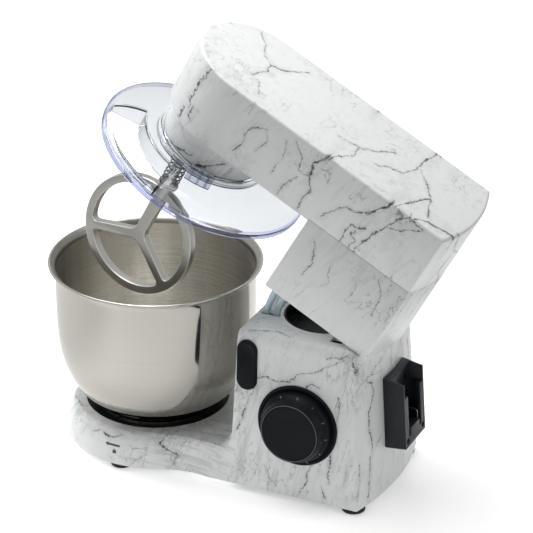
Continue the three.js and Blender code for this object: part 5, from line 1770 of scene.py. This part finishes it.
@dataclass
class SplashGuard:
    """Clear dish with a rolled rim, a feed chute, an inner collar and two clips."""
    radius: float = 113.5
    low: float = 215.5
    thick: float = 2.2
    collar: float = 56.0
    chute: tuple[float, float, float, float] = (75.0, 107.0, 197.0, 266.0)
    clip_height: float = 234.8
    clip_half: float = 13.0

    def dome(self, grow: float) -> list[Point2]:
        """Upper profile from the rim to the collar."""
        r, z = self.radius, self.low + grow
        return flowing([(r, z + 5.5), (r - 3, z + 8), (r - 10, z + 13), (r - 20, z + 18),
                        (r - 34, z + 22), (self.collar + 5, z + 24)], 5)

    def dish(self) -> Piece:
        """The clear dish with its chute."""
        r, z, t, c = self.radius, self.low, self.thick, self.collar
        under = self.dome(-t)[-2:0:-1]
        skin = lathe("splash_guard_fine", [
            (c + t, z + 27), (c, z + 27), (c, 234.7), (53.6, 234.7), (53.6, 232.9),
            (c + 3.5, 232.9), (c + 4, z + 21.4), *under, (r - t, z + 5.0), (r - t, z + .4),
            (r - t + .4, z), (r - .4, z), (r, z + .4), *self.dome(0), (c + t + .6, z + 24.6)],
            144)
        inner, outer, start, end = self.chute
        ring = sector(inner - t, outer + t, start - 1.4, end + 1.4, 36)
        walls = loft("chute_walls", [(z + 3.5, ring), (z + 34, ring)])
        carve(walls, lathe("under_dome", [(0, z - 1), (r, z - 1), *self.dome(.9),
                                          (0, z + 24.9)], 144), how=Cut.WITHIN)
        carve(skin, walls, how=Cut.JOIN)
        hole = sector(inner, outer, start, end, 36)
        return carve(skin, loft("cut_chute", [(z - 10, hole), (z + 44, hole)]))

    def build(self) -> None:
        """Makes the guard."""
        r, z, c = self.radius, self.low, self.collar
        skin = self.dish()
        for face in skin.data.polygons:
            radius, height = face.center.xy.length, face.center.z
            rim = (radius > r - 1.2 and height < z + 4) or (
                r - 2.7 < radius < r - 1.7 and height > z + 5.8)
            face.material_index = 1 if rim else 0
        install(skin, Space.HEAD, "guard", Look.CLEAR, Look.CLEAR_EDGE, sharp=30)
        for label, middle in (("near", -74), ("far", 106)):
            first, last = middle - self.clip_half, middle + self.clip_half
            self.clip(f"guard_clip_{label}", sector(c + 2.3, c + 5.2, first, last, 20), 17.5, .5)
            for k, turn in enumerate((middle - 8, middle, middle + 8)):
                rib = sector(c + 4.8, c + 7.0, turn - 1, turn + 1, 4)
                self.clip(f"guard_clip_{label}_rib_{k}", rib, 15, .3)

    def clip(self, name: str, outline: Sequence[Point2], depth: float, edge: float) -> None:
        """One upright piece of a clip.

        Args:
            name: its name.
            outline: its plan.
            depth: its height.
            edge: how far its edges are rounded.
        """
        tab = plate(name, outline, depth, edge)
        moved(tab, Matrix.Translation((0, 0, self.clip_height)))
        install(tab, Space.HEAD, "guard", Look.CLEAR_TAB)


@dataclass
class MixingTool:
    """Mixing shaft, beater spring and the flat three-bar beater."""
    orbit: float = 34.5
    orbit_angle: float = -112.7
    heading: float = -7.3
    radius: float = 65.0
    band: float = 8.7
    thick: float = 10.0
    centre: float = 118.5
    stem: float = 13.5
    leg: float = 9.0
    window_corner: float = 6.0
    hub_corner: float = 7.0
    hub: float = 8.0
    hub_top: float = 189.0
    hub_reach: float = 15.5
    bore: float = 5.8
    shaft: float = 5.5
    shaft_top: float = 263.0
    pin_slot: tuple[float, float, float] = (10.5, 1.75, 8.0)
    coil: float = 9.0
    coil_wire: float = 0.8
    coil_low: float = 191.2
    coil_high: float = 235.7
    coil_turns: int = 10
    push: float = 4.0

    @property
    def stand(self) -> Point2:
        """Where the mixing shaft stands in plan."""
        return polar(self.orbit, self.orbit_angle)

    @property
    def low(self) -> float:
        """The hub's lower end."""
        return self.centre + self.radius - self.hub_reach

    def placed(self, obj: Piece, z: float = 0.0, lean: float = 0.0) -> Piece:
        """Stands a piece drawn about the origin on the shaft's axis.

        Args:
            obj: the piece.
            z: how far it is raised.
            lean: how far it is first turned up about X, in degrees.

        Returns:
            The same piece.
        """
        return moved(obj, Matrix.Translation((*self.stand, z)) @ turned(self.heading, "Z")
                     @ turned(lean, "X"))

    def window(self, start: float, end: float, first: float, second: float) -> list[Point2]:
        """One opening between two bars, with rounded corners.

        Args:
            start: heading of the first bar, in degrees.
            end: heading of the second bar.
            first: width of the first bar.
            second: width of the second bar.

        Returns:
            The opening's outline.
        """
        r = self.radius - self.band
        arc = [polar(r, a) for a in spread(start + math.degrees(math.asin(first / 2 / r)),
                                           end - math.degrees(math.asin(second / 2 / r)), 25)]
        reach = (first + second) / 4 / math.sin(math.radians((end - start) / 2))
        points = [*arc, polar(reach, (start + end) / 2)]
        radii = {0: self.window_corner, len(arc) - 1: self.window_corner,
                 len(arc): self.hub_corner}
        out: list[Point2] = []
        for i, point in enumerate(points):
            if i in radii:
                before, after = (self.cut_back(points, i, step, radii[i]) for step in (-1, 1))
                out += bend(before, Vector(point), after, 6)
            elif all((Vector(point) - Vector(points[k])).length >= self.hub_corner * 0.98
                     for k in radii):
                out.append(point)
        return out

    @staticmethod
    def cut_back(points: list[Point2], i: int, step: int, left: float) -> Vector:
        """The place on an outline that lies a length away from one of its points.

        Args:
            points: the outline.
            i: the point that the length starts from.
            step: 1 to go onward, -1 to go back.
            left: the length.

        Returns:
            The place.
        """
        here = Vector(points[i])
        while True:
            i += step
            ahead = Vector(points[i % len(points)])
            gap = (ahead - here).length
            if gap >= left:
                return here + (ahead - here).normalized() * left
            left, here = left - gap, ahead

    def slot_cutter(self) -> Piece:
        """A cutter for the slot in which the cross pin slides."""
        x, y, height = self.pin_slot
        low = self.low + 2.8
        return self.placed(block("cut_pin", (-x, -y, low), (x, y, low + height)))

    def build(self) -> None:
        """Makes beater, shaft, washer, spring and cross pin."""
        self.beater()
        low, r, top = self.low, self.shaft, self.shaft_top
        shaft = fillet([(0, low + 5), (4.5, low + 5), (r, low + 6.5), (r, top), (0, top)],
                       [0, .5, .5, 0, 0], closed=False)
        b, z = self.bore, self.hub_top + 0.3
        washer = fillet([(b, z), (11, z), (11, z + 1.6), (b, z + 1.6)], .35)
        turning("mixing_shaft", shaft, 48, Space.HEAD, "planet", Look.GROUND, self.stand)
        turning("spring_washer", washer, 64, Space.HEAD, "flat_beater", Look.GROUND,
                self.stand)
        self.spring()
        install(from_node("cross_pin", 0.25), None, "planet", Look.GROUND)

    def beater(self) -> None:
        """The flat beater and its hub."""
        low, top, b = self.low, self.hub_top, self.bore
        outline = [polar(self.radius, a) for a in spread(0, 360, 121)[:-1]]
        windows = [self.window(90, 210, self.stem, self.leg),
                   self.window(210, 330, self.leg, self.leg),
                   self.window(-30, 90, self.leg, self.stem)]
        flat = self.placed(plate("beater_fine", outline, self.thick, 0.9, windows), self.centre,
                           90)
        carve(flat, self.slot_cutter(),
              cylinder("cut_socket", b, low + .6, top + 6, 48, self.stand))
        # rounded edge faces take the lighter aluminium, a painted highlight along the edges
        across = turned(self.heading, "Z").to_3x3() @ Vector((0, -1, 0))
        for face in flat.data.polygons:
            face.material_index = 1 if 0.15 < abs(face.normal.dot(across)) < 0.97 else 0
        install(flat, Space.HEAD, "flat_beater", Look.CAST, Look.CAST_EDGE_HIGHLIGHT, sharp=35)
        hub = lathe("beater_hub", fillet(
            [(0, low), (self.hub - .8, low), (self.hub, low + 3), (self.hub, top), (b, top),
             (b, low + .7), (0, low + .7)], [0, 1, 1.5, .8, 0, 0, 0], closed=False), 64,
            self.stand)
        install(carve(hub, self.slot_cutter()), Space.HEAD, "flat_beater", Look.CAST)

    def spring(self) -> None:
        """The beater spring, with its end turns wound close."""
        (x, y), low, high, per_turn = self.stand, self.coil_low, self.coil_high, 40
        count = self.coil_turns * per_turn
        points = []
        for i in range(count + 1):
            a = 2 * math.pi * i / per_turn
            rise = max(0.0, min(1.0, (i / count - .09) / .82))
            points.append((x + self.coil * math.cos(a), y + self.coil * math.sin(a),
                           lerp(low + 1.2, high - 1.2, rise)))
        spring = wire("beater_spring_fine", points, self.coil_wire)
        install(spring, Space.HEAD, "planet", Look.SPRING, sharp=60)
        place = LAYOUT.matrix(Space.HEAD)
        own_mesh(spring)


@dataclass(frozen=True)
class Softened:
    """Pieces that keep their CAD form, with softened edges."""
    body: str
    width: float
    looks: tuple[Look, ...]
    nodes: tuple[str, ...]
    slot: Slot | None = None


@dataclass
class Works:
    """The dock, the hinge, the quadrants and the hidden works."""
    softened: tuple[Softened, ...] = (
        Softened("base", 0.7, (Look.SLATE,), ("battery_dock",)),
        Softened("base", 0.2, (Look.BRASS, Look.BLACK), ("dock_terminal_left",
                                                         "dock_terminal_right")),
        Softened("base", 0.25, (Look.BLACK,), tuple(f"dock_screw_{i}" for i in range(1, 5)),
                 Slot.GROUND),
        Softened("head", 0.35, (Look.ZINC,), ("quadrant_left", "quadrant_right")),
        Softened("head", 0.6, (Look.ZINC,), ("hinge_yoke",)),
        Softened("base", 0.5, (Look.ZINC,), ("hinge_bracket",)),
        Softened("base", 0.5, (Look.GROUND,), ("hinge_pin",)),
        Softened("carrier", 0.5, (Look.SLATE,), ("planet_carrier",)))
    kept: tuple[tuple[Look, str], ...] = (
        (Look.SLATE, "speed_switch"), (Look.BOARD, "control_board"),
        (Look.NYLON, "lock_guide ring_gear planet_gear"),
        (Look.CAST, "chassis motor_pulley main_pulley"), (Look.ZINC, "motor"),
        (Look.GROUND, "bearing_lower bearing_upper motor_shaft main_shaft"),
        (Look.RUBBER, "drive_belt"))
    lock_push: float = 4.0

    def build(self) -> None:
        """Dresses the pieces."""
        for group in self.softened:
            for node in group.nodes:
                piece = from_node(node, group.width)
                for face in piece.data.polygons:
                    face.material_index = 1 if abs(face.normal.y) > 0.9 else 0
                install(piece, None, group.body, *group.looks, slot=group.slot)
        self.lock_spring()
        for look, nodes in self.kept:
            for node in nodes.split():
                slots = frame["nodes"][node].data.materials
                slots.clear()
                slots.append(look.material)
                LOG.info("%s dressed in %s", node, look.value.name)

    def lock_spring(self) -> None:
        """The spring behind the lock button; in the machine it shortens when the button is pushed,
        here it keeps its resting length.
        """
        spring = new_object("lock_spring_fine", frame["nodes"]["lock_spring"].data.copy())
        install(spring, None, "base", Look.SPRING)
        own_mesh(spring)


# ------------------------------------------------------------------ studio
@dataclass
class Studio:
    """Camera, lamps, floor and world."""
    azimuth: float = 24.92
    elevation: float = 25.907
    distance: float = 2940.554
    target: tuple[float, float, float] = (127.846, 0.0, 220.509)
    lens: float = 193.33
    world_light: float = 0.15
    world_gloss: float = 0.66
    # strength of the floor's painted bounce glow
    bounce: float = 0.56
    floor_size: float = 6000.0

    def aim(self, obj: Piece, place: Sequence[float], at: Sequence[float]) -> None:
        """Puts a lamp or camera at a design point and turns it towards another."""
        base = LAYOUT.matrix(Space.BASE)
        obj.location = base @ Vector(place)
        obj.rotation_euler = (base @ Vector(at) - obj.location).to_track_quat("-Z", "Y").to_euler()

    def camera(self) -> None:
        """The viewpoint."""
        view = new_object("view", set_all(bpy.data.cameras.new("view"), {
            "lens": self.lens, "sensor_width": 36, "clip_end": 50}))
        a, e = math.radians(self.azimuth), math.radians(self.elevation)
        back = Vector((math.sin(a) * math.cos(e), -math.cos(a) * math.cos(e), math.sin(e)))
        self.aim(view, Vector(self.target) + back * self.distance, self.target)
        bpy.context.scene.camera = view

    def lamp(self, name: str, at: Sequence[float], size: float, power: float,
             shines: bool = True) -> None:
        """A soft square lamp.

        Args:
            name: the lamp's name.
            at: where it hangs, in design millimetres.
            size: its side, in metres.
            power: its power, in watts.
            shines: whether glossy things show it.
        """
        lamp = new_object(name, set_all(bpy.data.lights.new(name, "AREA"), {
            "size": size, "energy": power}))
        lamp.visible_glossy = shines
        self.aim(lamp, at, (80, 0, 150))

    def board(self, name: str, width: float, height: float, paint: Paint) -> Piece:
        """A flat stage board, drawn level about the origin.

        Args:
            name: its name.
            width: its width, in millimetres.
            height: its height, in millimetres.
            paint: what it is painted with.

        Returns:
            The board.
        """
        x, y = width / 2, height / 2
        board = from_faces(name, [(-x, -y, 0), (x, -y, 0), (x, y, 0), (-x, y, 0)],
                           [(0, 1, 2, 3)])
        moved(board, Matrix.Scale(MM, 4))
        board.data.materials.append(paint.material)
        return board

    def dark_panel(self) -> None:
        """A dark board outside the view that only reflections show."""
        g = Paint("dark_right_paint", Base_Color=(0, 0, 0, 1), Roughness=1,
                  Specular_IOR_Level=0.0, Emission_Color=(0.01, 0.01, 0.01, 1),
                  Emission_Strength=1.0)
        board = self.board("dark_right", 200, 1400, g)
        self.aim(board, (900, -700, 150), (0, 0, 120))
        board.visible_camera = board.visible_diffuse = False
        board.visible_shadow = board.visible_transmission = False

    def floor(self) -> None:
        """A pale floor that keeps the shadow and looks white; reflections see it painted darker
        towards -X, and near the machine it glows as a painted bounce light.
        """
        g = Paint("floor_paper", Roughness=0.9, Emission_Color=(1, 1, 1, 1))
        paper = g.mix(g.noise(g.coords, 40.0, 3.0), (0.93, 0.93, 0.93, 1), (0.95, 0.95, 0.95, 1))
        path = g.node("LightPath", {}).outputs
        off = g.vector("DISTANCE", g.coords, (-0.12, -0.12, 0))
        gloss = g.sub(path["Is Glossy Ray"], path["Is Transmission Ray"], clamp=True)
        # painted shade seen only in reflections: the floor turns darker towards -X for glossy rays
        reflected_shade = g.mul(gloss, g.ramp(g.split(g.coords)[0], -0.45, -0.2, 0.36, 0.1))
        # painted bounce light: near the machine the floor glows for diffuse rays, and a little
        # everywhere, though it is no lamp
        bounce = g.mul(path["Is Diffuse Ray"], g.ramp(off, 0.2, 0.7, self.bounce, 0.0))
        far = g.mul(path["Is Camera Ray"], g.ramp(off, 0.7, 1.8, 0.35, 1.1))
        g.feed(Base_Color=g.mix(reflected_shade, paper, (0, 0, 0, 1)),
               Emission_Strength=g.add(g.add(far, 0.1), bounce))
        plane = self.board("floor", 2 * self.floor_size, 2 * self.floor_size, g)
        moved(plane, Matrix.Translation((0, 0, -0.3 * MM)))

    def world(self) -> None:
        """Plain light all round, white to the camera."""
        world = bpy.data.worlds.new("studio")
        bpy.context.scene.world = world
        world.use_nodes = True
        g = Graph(world.node_tree)
        path = g.node("LightPath", {}).outputs
        camera = g.most(path["Is Camera Ray"], path["Is Transmission Ray"])
        level = g.add(self.world_light, g.mul(path["Is Glossy Ray"],
                                              self.world_gloss - self.world_light))
        level = g.add(camera, g.mul(g.sub(1.0, camera), level))
        g.fill(world.node_tree.nodes["Background"], {"Color": (1, 1, 1, 1), "Strength": level})

    def build(self) -> None:
        """Sets the scene up."""
        self.camera()
        self.floor()
        self.world()
        self.lamp("top", (-100, 150, 1500), 1.3, 20)
        self.lamp("left", (-1400, 150, 800), 0.9, 15, shines=False)
        self.lamp("rear", (1500, 300, 600), 0.9, 1.6)
        self.dark_panel()
        bpy.context.scene.view_settings.view_transform = "Standard"


def main() -> None:
    """Builds every sub-assembly and dresses it."""
    logging.basicConfig(level=logging.INFO, format="%(message)s")
    shell = BaseShell()
    for assembly in (Studio(), shell, BaseFittings(shell), LockButton(shell), SpeedDial(),
                     MixingBowl(), HeadShells(), SplashGuard(), MixingTool(), Works()):
        assembly.build()


if __name__ == "__main__":
    main()
